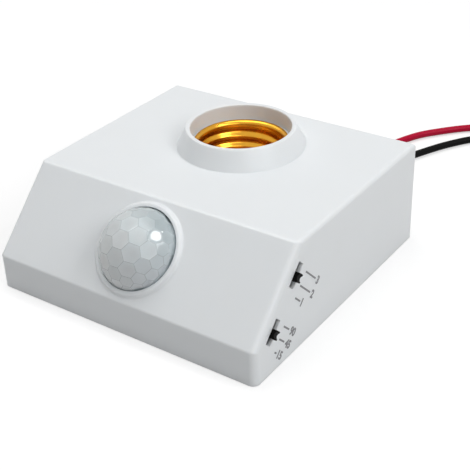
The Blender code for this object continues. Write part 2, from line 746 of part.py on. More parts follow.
def screws(slope):
    up = (math.radians(180), 0, 0)
    for i, side in enumerate((-1, 1), 1):
        place = (side * BASE_SCREW_X, BASE_SCREW_Y, CUP_TOP_Z - CUP_FLOOR - GAP)
        length = BASE_SCREW_LENGTH
        screw(
            f"base_screw_{i}", place, length, BASE_SCREW_RADIUS, BASE_SCREW_HEAD_RADIUS,
            rotation=up,
        )
        place = (side * SOCKET_EAR_X, SOCKET_Y, INSULATOR_BOTTOM_Z - GAP)
        length = SOCKET_SCREW_LENGTH
        screw(f"socket_screw_{i}", place, length, SCREW_RADIUS, SCREW_HEAD_RADIUS, rotation=up)
    for i, (x, y) in enumerate(POWER_POSTS, 1):
        place = (x, y, POWER_BOARD_Z - GAP)
        length = BOARD_SCREW_LENGTH
        screw(
            f"power_board_screw_{i}", place, length, SCREW_RADIUS, SCREW_HEAD_RADIUS,
            rotation=up,
        )
    for i, (x, along) in enumerate(SENSOR_POSTS, 1):
        place = (x, along, -(SENSOR_BOARD_DEPTH + BOARD + GAP))
        length = BOARD_SCREW_LENGTH
        screw(
            f"sensor_board_screw_{i}", place, length, SCREW_RADIUS, SCREW_HEAD_RADIUS,
            slope, up,
        )


def thread_radius(turn, height):
    """The rolled sheet's inner radius: a round-crested thread that fades out at both ends."""
    middle = (THREAD_CREST_RADIUS + THREAD_ROOT_RADIUS) / 2
    swing = (THREAD_CREST_RADIUS - THREAD_ROOT_RADIUS) / 2
    fade = THREAD_PITCH / 2
    from_top = (SHELL_TOP_Z - SHELL_FLARE - height) / fade
    from_bottom = (height - SHELL_BOTTOM_Z) / fade
    strength = max(0.0, min(1.0, from_top, from_bottom))
    return middle + swing * strength * math.cos(2 * math.pi * (height / THREAD_PITCH - turn))


def screw_shell():
    """The rolled shell: an open helical sheet, thickened outwards."""
    low, high = SHELL_BOTTOM_Z, SHELL_TOP_Z - SHELL_FLARE
    count = math.ceil((high - low) / THREAD_PITCH * ROWS_PER_PITCH)
    bm = bmesh.new()
    rows = []
    for i in range(count + 1):
        z = low + (high - low) * i / count
        rows.append([(thread_radius(k / THREAD_SIDES, z), z) for k in range(THREAD_SIDES)])
    flare_radius = SHELL_RIM_RADIUS - rows[-1][0][0]
    for angle in (45, 90):
        share = 1 - math.cos(math.radians(angle))
        rise = math.sin(math.radians(angle)) * SHELL_FLARE
        rows.append([(r + flare_radius * share, high + rise) for r, _ in rows[count]])
    rings = []
    for row in rows:
        ring = []
        for k, (radius, z) in enumerate(row):
            angle = 2 * math.pi * k / THREAD_SIDES
            ring.append(bm.verts.new((radius * math.cos(angle), radius * math.sin(angle), z)))
        rings.append(ring)
    for a, b in zip(rings, rings[1:]):
        for k in range(THREAD_SIDES):
            n = (k + 1) % THREAD_SIDES
            bm.faces.new((a[k], a[n], b[n], b[k]))
    mesh = bpy.data.meshes.new("screw_shell")
    bm.to_mesh(mesh)
    bm.free()
    shell = bpy.data.objects.new("screw_shell", mesh)
    solidify = shell.modifiers.new("Sheet", "SOLIDIFY")
    solidify.thickness = SHELL_SHEET
    solidify.offset = 1.0
    mesh.shade_smooth()
    add(shell, "brass", location=(0, SOCKET_Y, 0))


def socket_insulator():
    """The plate under the well, with two ears for its screws and a plug that enters the well."""
    corners = arc((0, 0), WELL_OUTER_RADIUS, 0, 360, 36)[:-1]
    for side in (-1, 1):
        corners += arc((side * SOCKET_EAR_X, 0), SOCKET_EAR_RADIUS, 0, 360, POST_SIDES)[:-1]
    outline = [corners[i] for i in geometry.convex_hull_2d(corners)]
    plate = prism("socket_insulator", outline, INSULATOR_BOTTOM_Z, INSULATOR_TOP_Z)
    add(plate, "cream_plastic", location=(0, SOCKET_Y, 0))
    plug = cylinder("plug", WELL_RADIUS - GAP, INSULATOR_BOTTOM_Z + GAP, PLUG_TOP_Z, 36)
    join(plate, add(plug, location=(0, SOCKET_Y, 0)))
    holes = (
        ("contact_rivet_hole", CONTACT_RIVET_X, RIVET_RADIUS + GAP),
        ("shell_rivet_hole", SHELL_RIVET_X, RIVET_RADIUS + GAP),
        ("left_screw_hole", -SOCKET_EAR_X, SCREW_HOLE_RADIUS),
        ("right_screw_hole", SOCKET_EAR_X, SCREW_HOLE_RADIUS),
    )
    for name, x, radius in holes:
        tool = cylinder(name, radius, 0.0, 2 * PLUG_TOP_Z, HOLE_SIDES)
        cut(plate, add(tool, location=(x, SOCKET_Y, 0)))


def rivet(name, x, top):
    """A rivet through the insulator, with a head on the strip and a head below."""
    bottom = INSULATOR_BOTTOM_Z - GAP
    profile = [
        (0, top + RIVET_HEAD_HEIGHT),
        (RIVET_HEAD_RADIUS * 0.7, top + RIVET_HEAD_HEIGHT),
        (RIVET_HEAD_RADIUS, top),
        (RIVET_RADIUS, top),
        (RIVET_RADIUS, bottom),
        (RIVET_HEAD_RADIUS, bottom),
        (RIVET_HEAD_RADIUS * 0.7, bottom - RIVET_HEAD_HEIGHT),
        (0, bottom - RIVET_HEAD_HEIGHT),
    ]
    return add(turned(name, profile, HOLE_SIDES), "brass", location=(x, SOCKET_Y, 0))


def contacts():
    """The bent leaf for the lamp's tip and the angle strip at the shell's foot."""
    sheet_z = PLUG_TOP_Z + GAP + CONTACT_SHEET / 2
    foot = CONTACT_RIVET_X - CONTACT_WIDTH / 2
    bend = CONTACT_RIVET_X + CONTACT_WIDTH / 2
    path = [
        (foot, sheet_z),
        (bend, sheet_z),
        (-CONTACT_WIDTH / 4, sheet_z + CONTACT_RISE * 0.88),
        (0, sheet_z + CONTACT_RISE),
        (CONTACT_WIDTH / 4, sheet_z + CONTACT_RISE * 0.88),
        (CONTACT_WIDTH * 0.75, sheet_z + CONTACT_RISE * 0.5),
    ]
    socket = make_frame("socket_axis", (0, SOCKET_Y, 0), (0, 0, 0))
    leaf = strip("centre_contact", path, CONTACT_WIDTH, CONTACT_SHEET, "brass", socket)
    upright = THREAD_ROOT_RADIUS - GAP - CONTACT_SHEET
    inner = SHELL_RIVET_X - RIVET_HEAD_RADIUS - CONTACT_SHEET
    path = [
        (inner, sheet_z),
        (upright, sheet_z),
        (upright, sheet_z + SHELL_STRIP_HEIGHT),
    ]
    angle = strip("shell_contact", path, CONTACT_WIDTH / 2, CONTACT_SHEET, "brass", socket)
    for obj, x in ((leaf, CONTACT_RIVET_X), (angle, SHELL_RIVET_X)):
        hole = cylinder(f"{obj.name}_hole", RIVET_RADIUS + GAP, 0.0, 2 * PLUG_TOP_Z, HOLE_SIDES)
        cut(obj, add(hole, location=(x, SOCKET_Y, 0)))
    head_z = sheet_z + CONTACT_SHEET / 2 + GAP
    rivet("contact_rivet", CONTACT_RIVET_X, head_z)
    rivet("shell_rivet", SHELL_RIVET_X, head_z)


def dome_centre():
    """The height of the dome's centre above the slope's face."""
    return DOME_FOOT - math.sqrt(DOME_RADIUS**2 - LENS_RADIUS**2)


def cell_directions():
    """The directions of the lens's cells: a honeycomb wrapped evenly over the dome."""
    across = Vector((math.cos(math.radians(30)), math.sin(math.radians(30)))) * CELL_ANGLE
    upward = Vector((0, 1)) * CELL_ANGLE
    directions = []
    for i in range(-CELL_RINGS, CELL_RINGS + 1):
        for k in range(-CELL_RINGS, CELL_RINGS + 1):
            if abs(i + k) > CELL_RINGS:
                continue
            spot = across * i + upward * k
            tilt = spot.length
            side = spot.normalized() if tilt else spot
            directions.append(Vector((*(side * math.sin(tilt)), math.cos(tilt))))
    return directions


def lens_dome(slope):
    """The lens: a dome of flat cells, a straight neck through the wall and a flange behind it."""
    flange_top = -WALL - GAP
    flange_bottom = flange_top - LENS_FLANGE
    centre = dome_centre()
    top = centre + DOME_RADIUS
    bm = bmesh.new()
    bmesh.ops.create_cone(
        bm, cap_ends=True, segments=ROUND_SIDES, radius1=LENS_RADIUS, radius2=LENS_RADIUS,
        depth=top - flange_bottom,
    )
    bmesh.ops.translate(bm, vec=(0, 0, (top + flange_bottom) / 2), verts=bm.verts)
    for direction in cell_directions():
        geom = [*bm.verts, *bm.edges, *bm.faces]
        point = Vector((0, 0, centre)) + direction * (DOME_RADIUS - CELL_SAG)
        sliced = bmesh.ops.bisect_plane(
            bm, geom=geom, dist=0.0000001, plane_co=point, plane_no=direction, clear_outer=True
        )
        rim = [item for item in sliced["geom_cut"] if isinstance(item, bmesh.types.BMEdge)]
        if rim:
            bmesh.ops.contextual_create(bm, geom=rim)
    dome = add(mesh_object("lens_dome", bm), "lens", slope, (0, LENS_ALONG, 0))
    dome.data.set_sharp_from_angle(angle=CELL_ANGLE / 2)
    flange = cylinder("lens_flange", LENS_FLANGE_RADIUS, flange_bottom, flange_top, ROUND_SIDES)
    join(dome, add(flange, None, slope, (0, LENS_ALONG, 0)))
    inner = DOME_RADIUS - LENS_WALL
    neck = LENS_RADIUS - LENS_WALL
    end = math.degrees(math.acos(neck / inner))
    hollow = [
        (0, centre + inner),
        *arc((0, centre), inner, 90, end, INSIDE_RINGS)[1:],
        (neck, flange_bottom - WALL),
        (0, flange_bottom - WALL),
    ]
    tool = turned("lens_hollow", hollow, INSIDE_SIDES)
    cut(dome, add(tool, None, slope, (0, LENS_ALONG, 0)))


def sensors(slope):
    """The motion sensor's can and the light sensor, both behind the lens."""
    foot = -SENSOR_BOARD_DEPTH + GAP
    radius, top, rim = SENSOR_RADIUS, foot + SENSOR_HEIGHT, SENSOR_RIM
    profile = [
        (0, top),
        (radius - rim, top),
        (radius, top - rim),
        (radius, foot + rim),
        (radius + rim, foot + rim),
        (radius + rim, foot),
        (0, foot),
    ]
    can = add(turned("motion_sensor", profile, 24), "steel", slope, (0, LENS_ALONG, 0))
    half_x, half_y = WINDOW_HALF_LENGTH, WINDOW_HALF_WIDTH
    window = box("sensor_window", (-half_x, -half_y, top - rim), (half_x, half_y, top + rim))
    cut(can, add(window, parent=slope, location=(0, LENS_ALONG, 0)))
    cell = cylinder("light_sensor", CELL_SENSOR_RADIUS, foot, foot + CELL_SENSOR_HEIGHT, 24)
    add(cell, "cream_plastic", slope, (CELL_SENSOR_X, LENS_ALONG, 0))


def sensor_board(slope):
    left, right = SENSOR_BOARD_LEFT_X, SENSOR_BOARD_RIGHT_X
    low, high = SENSOR_BOARD_LOW, SENSOR_BOARD_HIGH
    outline = [
        (left, low + BOARD_CORNER),
        (left + BOARD_CORNER, low),
        (right, low),
        (right, high),
        (left + BOARD_CORNER, high),
        (left, high - BOARD_CORNER),
    ]
    back = -(SENSOR_BOARD_DEPTH + BOARD)
    board = add(prism("sensor_board", outline, back, -SENSOR_BOARD_DEPTH), "board", slope)
    for i, (x, along) in enumerate(SENSOR_POSTS):
        hole = cylinder(f"sensor_board_hole_{i}", SCREW_HOLE_RADIUS, 2 * back, 0.0, HOLE_SIDES)
        cut(board, add(hole, parent=slope, location=(x, along, 0)))
    for name, along in SWITCHES:
        for i, y in enumerate(pin_places(along), 1):
            half = PIN / 2 + GAP
            low = (pin_x() - half, y - half, 2 * back)
            high = (pin_x() + half, y + half, 0.0)
            cut(board, add(box(f"{name}_pin_hole_{i}", low, high), parent=slope))
    half_x, half_y = CHIP[0] / 2, CHIP[1] / 2
    foot = back - GAP
    chip = box("sensor_chip", (-half_x, -half_y, foot - CHIP[2]), (half_x, half_y, foot), GAP)
    add(chip, "black_plastic", slope, (CHIP_X, CHIP_ALONG, 0))


def switch_right():
    """The face of the switches' frames, behind the side wall."""
    return SIDE_X - WALL - SWITCH_TO_WALL


def pin_x():
    """Where the switches' pins turn down through the sensor board."""
    return switch_right() - SWITCH_WIDTH - PIN_REACH


def pin_places(along):
    """The three pins of a switch, up the slope from its lower edge."""
    return [along + KNOB_SHIFT + PIN_PITCH * i for i in (-1, 0, 1)]


def slide_switch(name, along, slope):
    """A metal frame open at the back, its insulating base with three pins, and its knob.

    The knob's origin is on its line of travel, at the middle of the three positions.
    """
    half, high, sheet = SWITCH_LENGTH / 2, SWITCH_HEIGHT / 2, SWITCH_SHEET
    right = switch_right()
    left = right - SWITCH_WIDTH
    axis = make_frame(f"{name}_switch_axis", (0, along + KNOB_SHIFT, -SLOT_DEPTH), (0, 0, 0), slope)
    frame = box(f"{name}_switch_frame", (left, -half, -high), (right, half, high), sheet / 2)
    add(frame, "steel", axis)
    inner_low = (left - SWITCH_WIDTH, -half + sheet, -high + sheet)
    inner_high = (right - sheet, half - sheet, high - sheet)
    cut(frame, add(box(f"{name}_switch_inside", inner_low, inner_high), parent=axis))
    window_half = KNOB_LENGTH / 2 + KNOB_TRAVEL + GAP
    window_high = KNOB_THICKNESS / 2 + GAP
    window = box(
        f"{name}_switch_window",
        (right - 2 * sheet, -window_half, -window_high),
        (right + sheet, window_half, window_high),
    )
    cut(frame, add(window, parent=axis))
    base = box(
        f"{name}_switch_base",
        (left, -half + sheet + GAP, -high + sheet + GAP),
        (left + SWITCH_BASE, half - sheet - GAP, high - sheet - GAP),
    )
    add(base, "cream_plastic", axis)
    for i in (-1, 0, 1):
        switch_pin(f"{name}_switch_pin_{i + 2}", left, i * PIN_PITCH, base, axis)
    slide_knob(name, right - sheet - GAP, axis)


def switch_pin(name, left, y, base, axis):
    """A bent pin, from the switch's inside through its base and down through the board."""
    half = PIN / 2
    turn_x = left - PIN_REACH
    tip = SLOT_DEPTH - SENSOR_BOARD_DEPTH - BOARD - PIN_PAST_BOARD
    pin = box(name, (turn_x - half, y - half, -half), (left + SWITCH_BASE, y + half, half))
    add(pin, "tinned_copper", axis)
    down = box(f"{name}_leg", (turn_x - half, y - half, tip), (turn_x + half, y + half, 0))
    join(pin, add(down, parent=axis))
    room = half + GAP
    low, high = (left - PIN, y - room, -room), (left + SWITCH_BASE + PIN, y + room, room)
    cut(base, add(box(f"{name}_hole", low, high), parent=axis))


def slide_knob(name, inside, axis):
    """The knob: a slider behind the frame's face and a stem with a saddle for the nail."""
    end = SIDE_X + KNOB_REACH
    low = (inside - SLIDER_WIDTH, -SLIDER_LENGTH / 2, -SLIDER_THICKNESS / 2)
    high = (inside, SLIDER_LENGTH / 2, SLIDER_THICKNESS / 2)
    knob = add(box(f"{name}_knob", low, high), "black_plastic", axis)
    half, thick = KNOB_LENGTH / 2, KNOB_THICKNESS / 2
    low = (inside - SLIDER_WIDTH / 2, -half, -thick)
    join(knob, add(box(f"{name}_stem", low, (end, half, thick), GAP / 2), parent=axis))
    radius = (half**2 / 2 + KNOB_SADDLE**2) / (2 * KNOB_SADDLE)
    saddle = cylinder(f"{name}_saddle", radius, -KNOB_THICKNESS, KNOB_THICKNESS, 32)
    place = (end + radius - KNOB_SADDLE, 0, 0)
    cut(knob, add(saddle, parent=axis, location=place))


def power_board():
    notch_x, notch_y = BOARD_NOTCH_X, BOARD_NOTCH_Y
    back, front, side = POWER_BOARD_BACK_Y, POWER_BOARD_FRONT_Y, POWER_BOARD_X
    outline = [
        (-side, front),
        (side, front),
        (side, back),
        (notch_x, back),
        (notch_x, notch_y),
        (-notch_x, notch_y),
        (-notch_x, back),
        (-side, back),
    ]
    board = add(prism("power_board", outline, POWER_BOARD_Z, POWER_BOARD_TOP_Z), "board")
    for i, (x, y) in enumerate(POWER_POSTS):
        hole = cylinder(f"power_board_hole_{i}", SCREW_HOLE_RADIUS, 0.0, 2 * POWER_BOARD_TOP_Z, HOLE_SIDES)
        cut(board, add(hole, location=(x, y, 0)))


def on_power_board(name, size, x, y, rounding, material):
    """A block that stands on the power board, by its size and the middle of its foot."""
    low = (-size[0] / 2, -size[1] / 2, 0)
    high = (size[0] / 2, size[1] / 2, size[2])
    return add(box(name, low, high, rounding), material, location=(x, y, PART_FOOT_Z))


def power_parts():
    y = BOARD_NOTCH_Y + RELAY_BEHIND
    on_power_board("relay", RELAY, -LEG_X, y, 0.0005, "blue_plastic")
    y = BOARD_NOTCH_Y + FILM_CAPACITOR_BEHIND
    on_power_board("film_capacitor", FILM_CAPACITOR, LEG_X, y, 0.0007, "yellow_plastic")
    filter_capacitor()
    varistor()
    diodes()


def filter_capacitor():
    """A round can with the groove above its foot."""
    radius, height, groove = FILTER_RADIUS, FILTER_HEIGHT, FILTER_GROOVE
    can = [
        (0, height),
        (radius - groove, height),
        (radius, height - groove),
        (radius, FILTER_GROOVE_Z + groove),
        (radius - groove, FILTER_GROOVE_Z),
        (radius, FILTER_GROOVE_Z - groove),
        (radius, groove),
        (radius - groove, 0),
        (0, 0),
    ]
    place = (LEG_X, BOARD_NOTCH_Y + FILTER_BEHIND, PART_FOOT_Z)
    add(turned("filter_capacitor", can, POST_SIDES), "black_plastic", location=place)


def varistor():
    """A round-edged disc that stands on its rim."""
    radius, half = VARISTOR_RADIUS, VARISTOR_THICKNESS / 2
    edge = half / 2
    profile = [
        (0, half),
        (radius - edge, half),
        (radius, half - edge),
        (radius, edge - half),
        (radius - edge, -half),
        (0, -half),
    ]
    place = (VARISTOR_X, BOARD_NOTCH_Y - VARISTOR_AHEAD, PART_FOOT_Z + radius)
    disc = turned("varistor", profile, 24)
    add(disc, "blue_plastic", location=place, rotation=(math.radians(90), 0, 0))


def diodes():
    """Four axial diodes side by side, with their leads along Y."""
    body, half, wire, reach = DIODE_RADIUS, DIODE_LENGTH / 2, DIODE_WIRE, DIODE_REACH
    profile = [
        (0, reach),
        (wire, reach),
        (wire, half),
        (body, half),
        (body, -half),
        (wire, -half),
        (wire, -reach),
        (0, -reach),
    ]
    turn = (math.radians(90), 0, 0)
    y = POWER_BOARD_FRONT_Y + DIODE_BEHIND_FRONT
    for i in range(4):
        diode = turned(f"diode_{i + 1}", profile, HOLE_SIDES)
        place = (DIODE_X + DIODE_PITCH * i, y, PART_FOOT_Z + body)
        add(diode, "black_plastic", location=place, rotation=turn)


def board_link(slope_point):
    """The flat ribbon from the back of the sensor board to the front of the power board."""
    back = SENSOR_BOARD_DEPTH + BOARD + GAP
    start = slope_point(LINK_ALONG, back)
    leave = slope_point(LINK_ALONG, back + LINK_LEAVE)
    end = Vector((0, POWER_BOARD_FRONT_Y + LINK_BEHIND_FRONT, PART_FOOT_Z))
    above = end + Vector((0, -LINK_LEAN, LINK_RISE))
    middle = [leave.lerp(above, share) + Vector((0, 0, rise)) for share, rise in LINK_BENDS]
    route = [start, leave, *middle, above, end]
    path = [(p.y, p.z) for p in smooth_route(route, LINK_STEP)]
    frame = make_frame("link_frame", (LINK_X, 0, 0), (0, 0, math.radians(90)))
    strip("board_link", path, LINK_WIDTH, LINK_THICKNESS, "grey_ribbon", frame)


def bends(place, offsets, side):
    """Points by their offsets from a place, mirrored for the left side."""
    return [Vector(place) + Vector((side * x, y, z)) for x, y, z in offsets]


def supply_route(hole_x, side):
    """From a hole in the back wall to its landing behind the relay or the capacitors."""
    hole = (hole_x, BACK_Y, LEAD_HOLE_Z)
    land = (side * LEG_X, LAND_Y, PART_FOOT_Z)
    return bends(hole, BEHIND_HOLE, side) + bends(land, ABOVE_SUPPLY_LAND, side)


def contact_route(rivet_x, side):
    """From beside a rivet's lower head, forward under the well and up onto the power board."""
    under = (0, SOCKET_Y, INSULATOR_BOTTOM_Z - GAP - INNER_LEAD_RADIUS)
    start = Vector(under) + Vector((rivet_x + side * (RIVET_HEAD_RADIUS + 2 * GAP), 0, 0))
    land = (side * CONTACT_LAND_X, CONTACT_LAND_Y, PART_FOOT_Z)
    return [start, *bends(under, UNDER_WELL, side), *bends(land, ABOVE_CONTACT_LAND, side)]


def inner_leads():
    """The wires inside: the two supply leads' inner ends and the wires from the two rivets."""
    wires = (
        ("red_inner_lead", supply_route(RED_HOLE_X, -1), LEAD_RADIUS, "red_insulation"),
        ("black_inner_lead", supply_route(BLACK_HOLE_X, 1), LEAD_RADIUS, "black_insulation"),
        ("contact_lead", contact_route(CONTACT_RIVET_X, -1), INNER_LEAD_RADIUS, "red_insulation"),
        ("shell_lead", contact_route(SHELL_RIVET_X, 1), INNER_LEAD_RADIUS, "black_insulation"),
    )
    for name, route, radius, material in wires:
        tube(name, smooth_route(route, INNER_STEP), radius, material)


def free_lead(name, route, material):
    """A lead outside the housing, lying on the surface, and its stripped end."""
    points = smooth_route(route, LEAD_STEP)
    tube(name, points, LEAD_RADIUS, material)
    ahead = (points[-1] - points[-2]).normalized()
    start = points[-1] + ahead * GAP
    tip = [start + ahead * TIP_LENGTH * i / 3 for i in range(4)]
    tube(f"{name}_tip", tip, TIP_RADIUS, "tinned_copper")


def leads():
    z = LEAD_HOLE_Z
    low = LYING_Z
    out = BACK_Y + GAP
    red = [
        (RED_HOLE_X, out, z),
        (RED_HOLE_X, 0.0490, z - 0.0001),
        (0.0034, 0.0550, 0.0031),
        (0.0042, 0.0620, 0.0017),
        (0.0054, 0.0700, low),
        (0.0075, 0.0810, low),
        (0.0105, 0.0940, low),
        (0.0154, 0.1068, low),
        (0.0210, 0.1147, low),
        (0.0289, 0.1231, low),
        (0.0375, 0.1290, low),
        (0.0480, 0.1315, low),
        (0.0575, 0.1290, low),
    ]
    black = [
        (BLACK_HOLE_X, out, z),
        (BLACK_HOLE_X, 0.0490, z - 0.0001),
        (0.0096, 0.0550, 0.0031),
        (0.0110, 0.0620, 0.0017),
        (0.0130, 0.0700, low),
        (0.0168, 0.0810, low),
        (0.0228, 0.0949, low),
        (0.0265, 0.1029, low),
        (0.0298, 0.1087, low),
        (0.0345, 0.1152, low),
        (0.0420, 0.1210, low),
        (0.0510, 0.1228, low),
        (0.0600, 0.1195, low),
        (0.0665, 0.1130, low),
    ]
    free_lead("red_lead", red, "red_insulation")
    free_lead("black_lead", black, "black_insulation")


def main():
    slope = make_frame("slope", (0, FRONT_Y, LIP_HEIGHT), (SLOPE_ANGLE, 0, 0))
    slope_matrix = Matrix.Translation(slope.location) @ Matrix.Rotation(SLOPE_ANGLE, 4, "X")

    def slope_point(along, depth):
        return slope_matrix @ Vector((0, along, -depth))

    housing(slope)
    base_plate()
    screws(slope)
    screw_shell()
    socket_insulator()
    contacts()
    lens_dome(slope)
    sensors(slope)
    sensor_board(slope)
    for name, along in SWITCHES:
        slide_switch(name, along, slope)
    power_board()
    power_parts()
    board_link(slope_point)
    inner_leads()
    leads()


clear_scene()
PARTS = make_collection("motion_sensor_lamp_holder")
CUTTERS = make_collection("cutters")
main()
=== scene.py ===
"""The looks of the motion sensor lamp holder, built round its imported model.

Lengths are in metres, in the model's own frame: the origin is at the centre of the underside,
+Z is up, the lens faces -Y and the switches face +X.
"""

import json
import math
import random

import bmesh
import bpy
from mathutils import Matrix, Vector


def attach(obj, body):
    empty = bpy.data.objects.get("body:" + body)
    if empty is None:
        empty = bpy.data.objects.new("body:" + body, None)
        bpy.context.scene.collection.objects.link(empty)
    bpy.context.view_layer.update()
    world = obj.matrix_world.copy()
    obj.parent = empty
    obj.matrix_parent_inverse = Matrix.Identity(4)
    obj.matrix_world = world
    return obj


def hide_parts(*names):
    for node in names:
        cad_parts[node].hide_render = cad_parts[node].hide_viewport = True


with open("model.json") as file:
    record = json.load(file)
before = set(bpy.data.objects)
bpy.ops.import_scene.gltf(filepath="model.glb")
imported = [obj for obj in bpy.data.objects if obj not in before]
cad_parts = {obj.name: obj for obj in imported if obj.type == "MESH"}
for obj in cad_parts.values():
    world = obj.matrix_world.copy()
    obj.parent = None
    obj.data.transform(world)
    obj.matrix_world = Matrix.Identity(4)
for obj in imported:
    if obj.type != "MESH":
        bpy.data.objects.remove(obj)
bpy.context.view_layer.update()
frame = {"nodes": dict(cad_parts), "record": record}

# Camera, fitted to the housing's corners in the photograph
CAMERA_PLACE = Vector((0.1612, -0.2120, 0.1691))
CAMERA_AZIMUTH = math.radians(35.73)
CAMERA_ELEVATION = math.radians(31.10)
CAMERA_ROLL = math.radians(-2.15)
CAMERA_LENS = 78.92
CAMERA_SENSOR = 36.0
CAMERA_CLIP = (0.01, 20.0)

# Light: the world's strength, each softbox's name, place, size and power, and where they all point
WORLD_STRENGTH = 0.23
LIGHTS = (
    ("top_light", (-0.12, 0.03, 0.75), 0.6, 2.75),
    ("side_light", (0.80, -0.03, 0.61), 0.4, 2.65),
    ("edge_light", (0.50, -0.33, 0.34), 0.30, 0.52),
    ("left_light", (-0.60, 0.10, 0.80), 0.5, 0.9),
    ("glint_light", (0.4526, 0.1693, 0.6614), 0.09, 0.45),
)
LIGHT_TARGET = (0, 0, 0.02)

# Floor: its own grey, and the white that only the eye sees on it, part near and full far away
FLOOR_HALF = 3.0
FLOOR_DROP = 0.0001
FLOOR_SHADE = 0.53
FLOOR_ROUGHNESS = 0.9
FLOOR_GLOW = 0.52
FLOOR_NEAR, FLOOR_FAR = 0.25, 1.1

# Materials: their clouding, patches of gloss and grain, and how far light spreads inside them
NOISE_LOW, NOISE_HIGH = 0.3, 0.7
NOISE_DETAIL = 3.0
PLASTIC_CLOUDING, PLASTIC_GLOSS, PLASTIC_GRAIN = 60.0, 350.0, 4000.0
METAL_CLOUDING, METAL_GLOSS, METAL_GRAIN = 500.0, 900.0, 2500.0
LENS_CLOUDING, LENS_GLOSS, LENS_GRAIN = 250.0, 600.0, 1800.0
METAL_CONTRAST, LENS_CONTRAST = 0.05, 0.03
METAL_ROUGHNESS_SHARES = (0.75, 1.3)
LENS_COLOUR = (0.80, 0.92, 0.95)
LENS_ROUGHNESS = (0.07, 0.13)
GRAIN_DEPTH = 0.000004
PLASTIC_BUMP, METAL_BUMP, LENS_BUMP = 0.35, 0.25, 0.15
GLOW_RADIUS = (0.0022, 0.0021, 0.0020)
LENS_GLOW = 0.8
LENS_GLOW_RADIUS = (0.0036, 0.0040, 0.0040)

# Clearance between pieces, and how far a cutting tool reaches past the face that it opens
GAP = 0.0003
PAST = 0.001

# Housing: the first corner radius is the hollow's and the base plate's, with the wall added
SIDE_X = 0.0450
FRONT_Y = -0.0440
BACK_Y = 0.0440
TOP_Z = 0.03225
LIP_HEIGHT = 0.01058
SLOPE_ANGLE = math.radians(45.1)
WALL = 0.0020
CORNER_RADIUS = 0.0035
FRONT_CORNER_RADIUS = 0.0021
BACK_CORNER_RADIUS = 0.0010
SIDE_EDGE_RADIUS = 0.0012
SLOPE_SIDE_RADIUS = 0.0020
SLOPE_TOP_RADIUS = 0.0007
LIP_EDGE_RADIUS = 0.0004
EDGE_SEGMENTS = 8
CORNER_STEPS = 6
ROUND_SIDES = 144
POST_SIDES = 32
SLOPE = Matrix.Translation((0, FRONT_Y, LIP_HEIGHT)) @ Matrix.Rotation(SLOPE_ANGLE, 4, "X")

# Socket collar and well
SOCKET_Y = 0.01719
SOCKET = Matrix.Translation((0, SOCKET_Y, 0))
RIM_Z = 0.0382
RIM_RADIUS = 0.01670
RIM_ROUNDING = 0.0003
COLLAR_RADIUS = 0.01940
COLLAR_FILLET = 0.0004
MOUTH_RADIUS = 0.01522
MOUTH_CHAMFER = 0.0004
WELL_RADIUS = 0.0140
WELL_OUTER_RADIUS = 0.0160
WELL_BOTTOM_Z = 0.0093
LEDGE_Z = 0.03295

# Rolled screw shell
SHELL_TOP_Z = 0.0336
SHELL_BOTTOM_Z = 0.0105
SHELL_SHEET = 0.00035
THREAD_PITCH = 0.00362
THREAD_CREST_RADIUS = 0.01335
THREAD_ROOT_RADIUS = 0.01235
SHELL_RIM_RADIUS = 0.0143
SHELL_FLARE = 0.0012
THREAD_SIDES = 144
ROWS_PER_PITCH = 14
FLARE_STEPS = 6

# Lens on the slope: along is measured up the slope from its lower edge
LENS_ALONG = 0.0152
LENS = SLOPE @ Matrix.Translation((0, LENS_ALONG, 0))
LENS_RADIUS = 0.01192
DOME_RADIUS = 0.01248
DOME_FOOT = 0.0009
LENS_WALL = 0.0008
LENS_PLAY = 0.00012
LENS_HOLE_EDGE = 0.00012
LENS_HOLE_SHIFT = (0.00009, 0.00006, 0)
CELL_ANGLE = math.radians(23.5)
CELL_EVEN_TILT = 2 * CELL_ANGLE
CELL_OUTER_SHARE = 0.64
CELL_SAG = 0.00017
CELL_RINGS = 4
CELL_SEAM = 0.00009
CELL_CROWN = (
    (0.00030, 0.000022), (0.00040, 0.000018), (0.00050, 0.000012), (0.00050, 0.000005),
)
CELL_LEAST_RISE = 0.05
CELL_LEAST_AREA = 0.0000004
CROWN_LEAST_AREA = 0.000004
CUT_MERGE = 0.0000001
LENS_FLANGE_RADIUS = 0.0140
LENS_FLANGE = 0.0010
RING_RADIUS = 0.0134
RING_HEIGHT = 0.0010
RING_ROUNDING = 0.0006
RING_FILLET = 0.0008
SEAT_RIM = 0.0008
SEAT_DEPTH = 0.0036

# Shades of the lens: the neck's, the seams' and a cell's, which falls as it faces right and up:
# that fall is painted shade, putting into the colour how light falls on the dome
NECK_SHADE = (0.90, 0.90, 0.90, 1.0)
SEAM_SHADE = (0.55, 0.56, 0.57, 1.0)
CELL_SEED = 7
CELL_RANDOM = (0.94, 1.06)
CELL_SHADE = 0.97
CELL_PAINTED_SHADE_RIGHT = 0.22
CELL_PAINTED_SHADE_UP = 0.40
CELL_SHADE_MOST = 1.04

# Tints of the cells: how each grows as a cell faces right and up, and what it adds to the colour
GREENISH = ((-0.7, -0.7), (-0.03, 0.0, -0.06))
BLUISH = ((0.8, 0.3), (-0.05, 0.0, 0.03))
PINKISH = ((0.3, -0.8), (0.02, -0.02, 0.02))

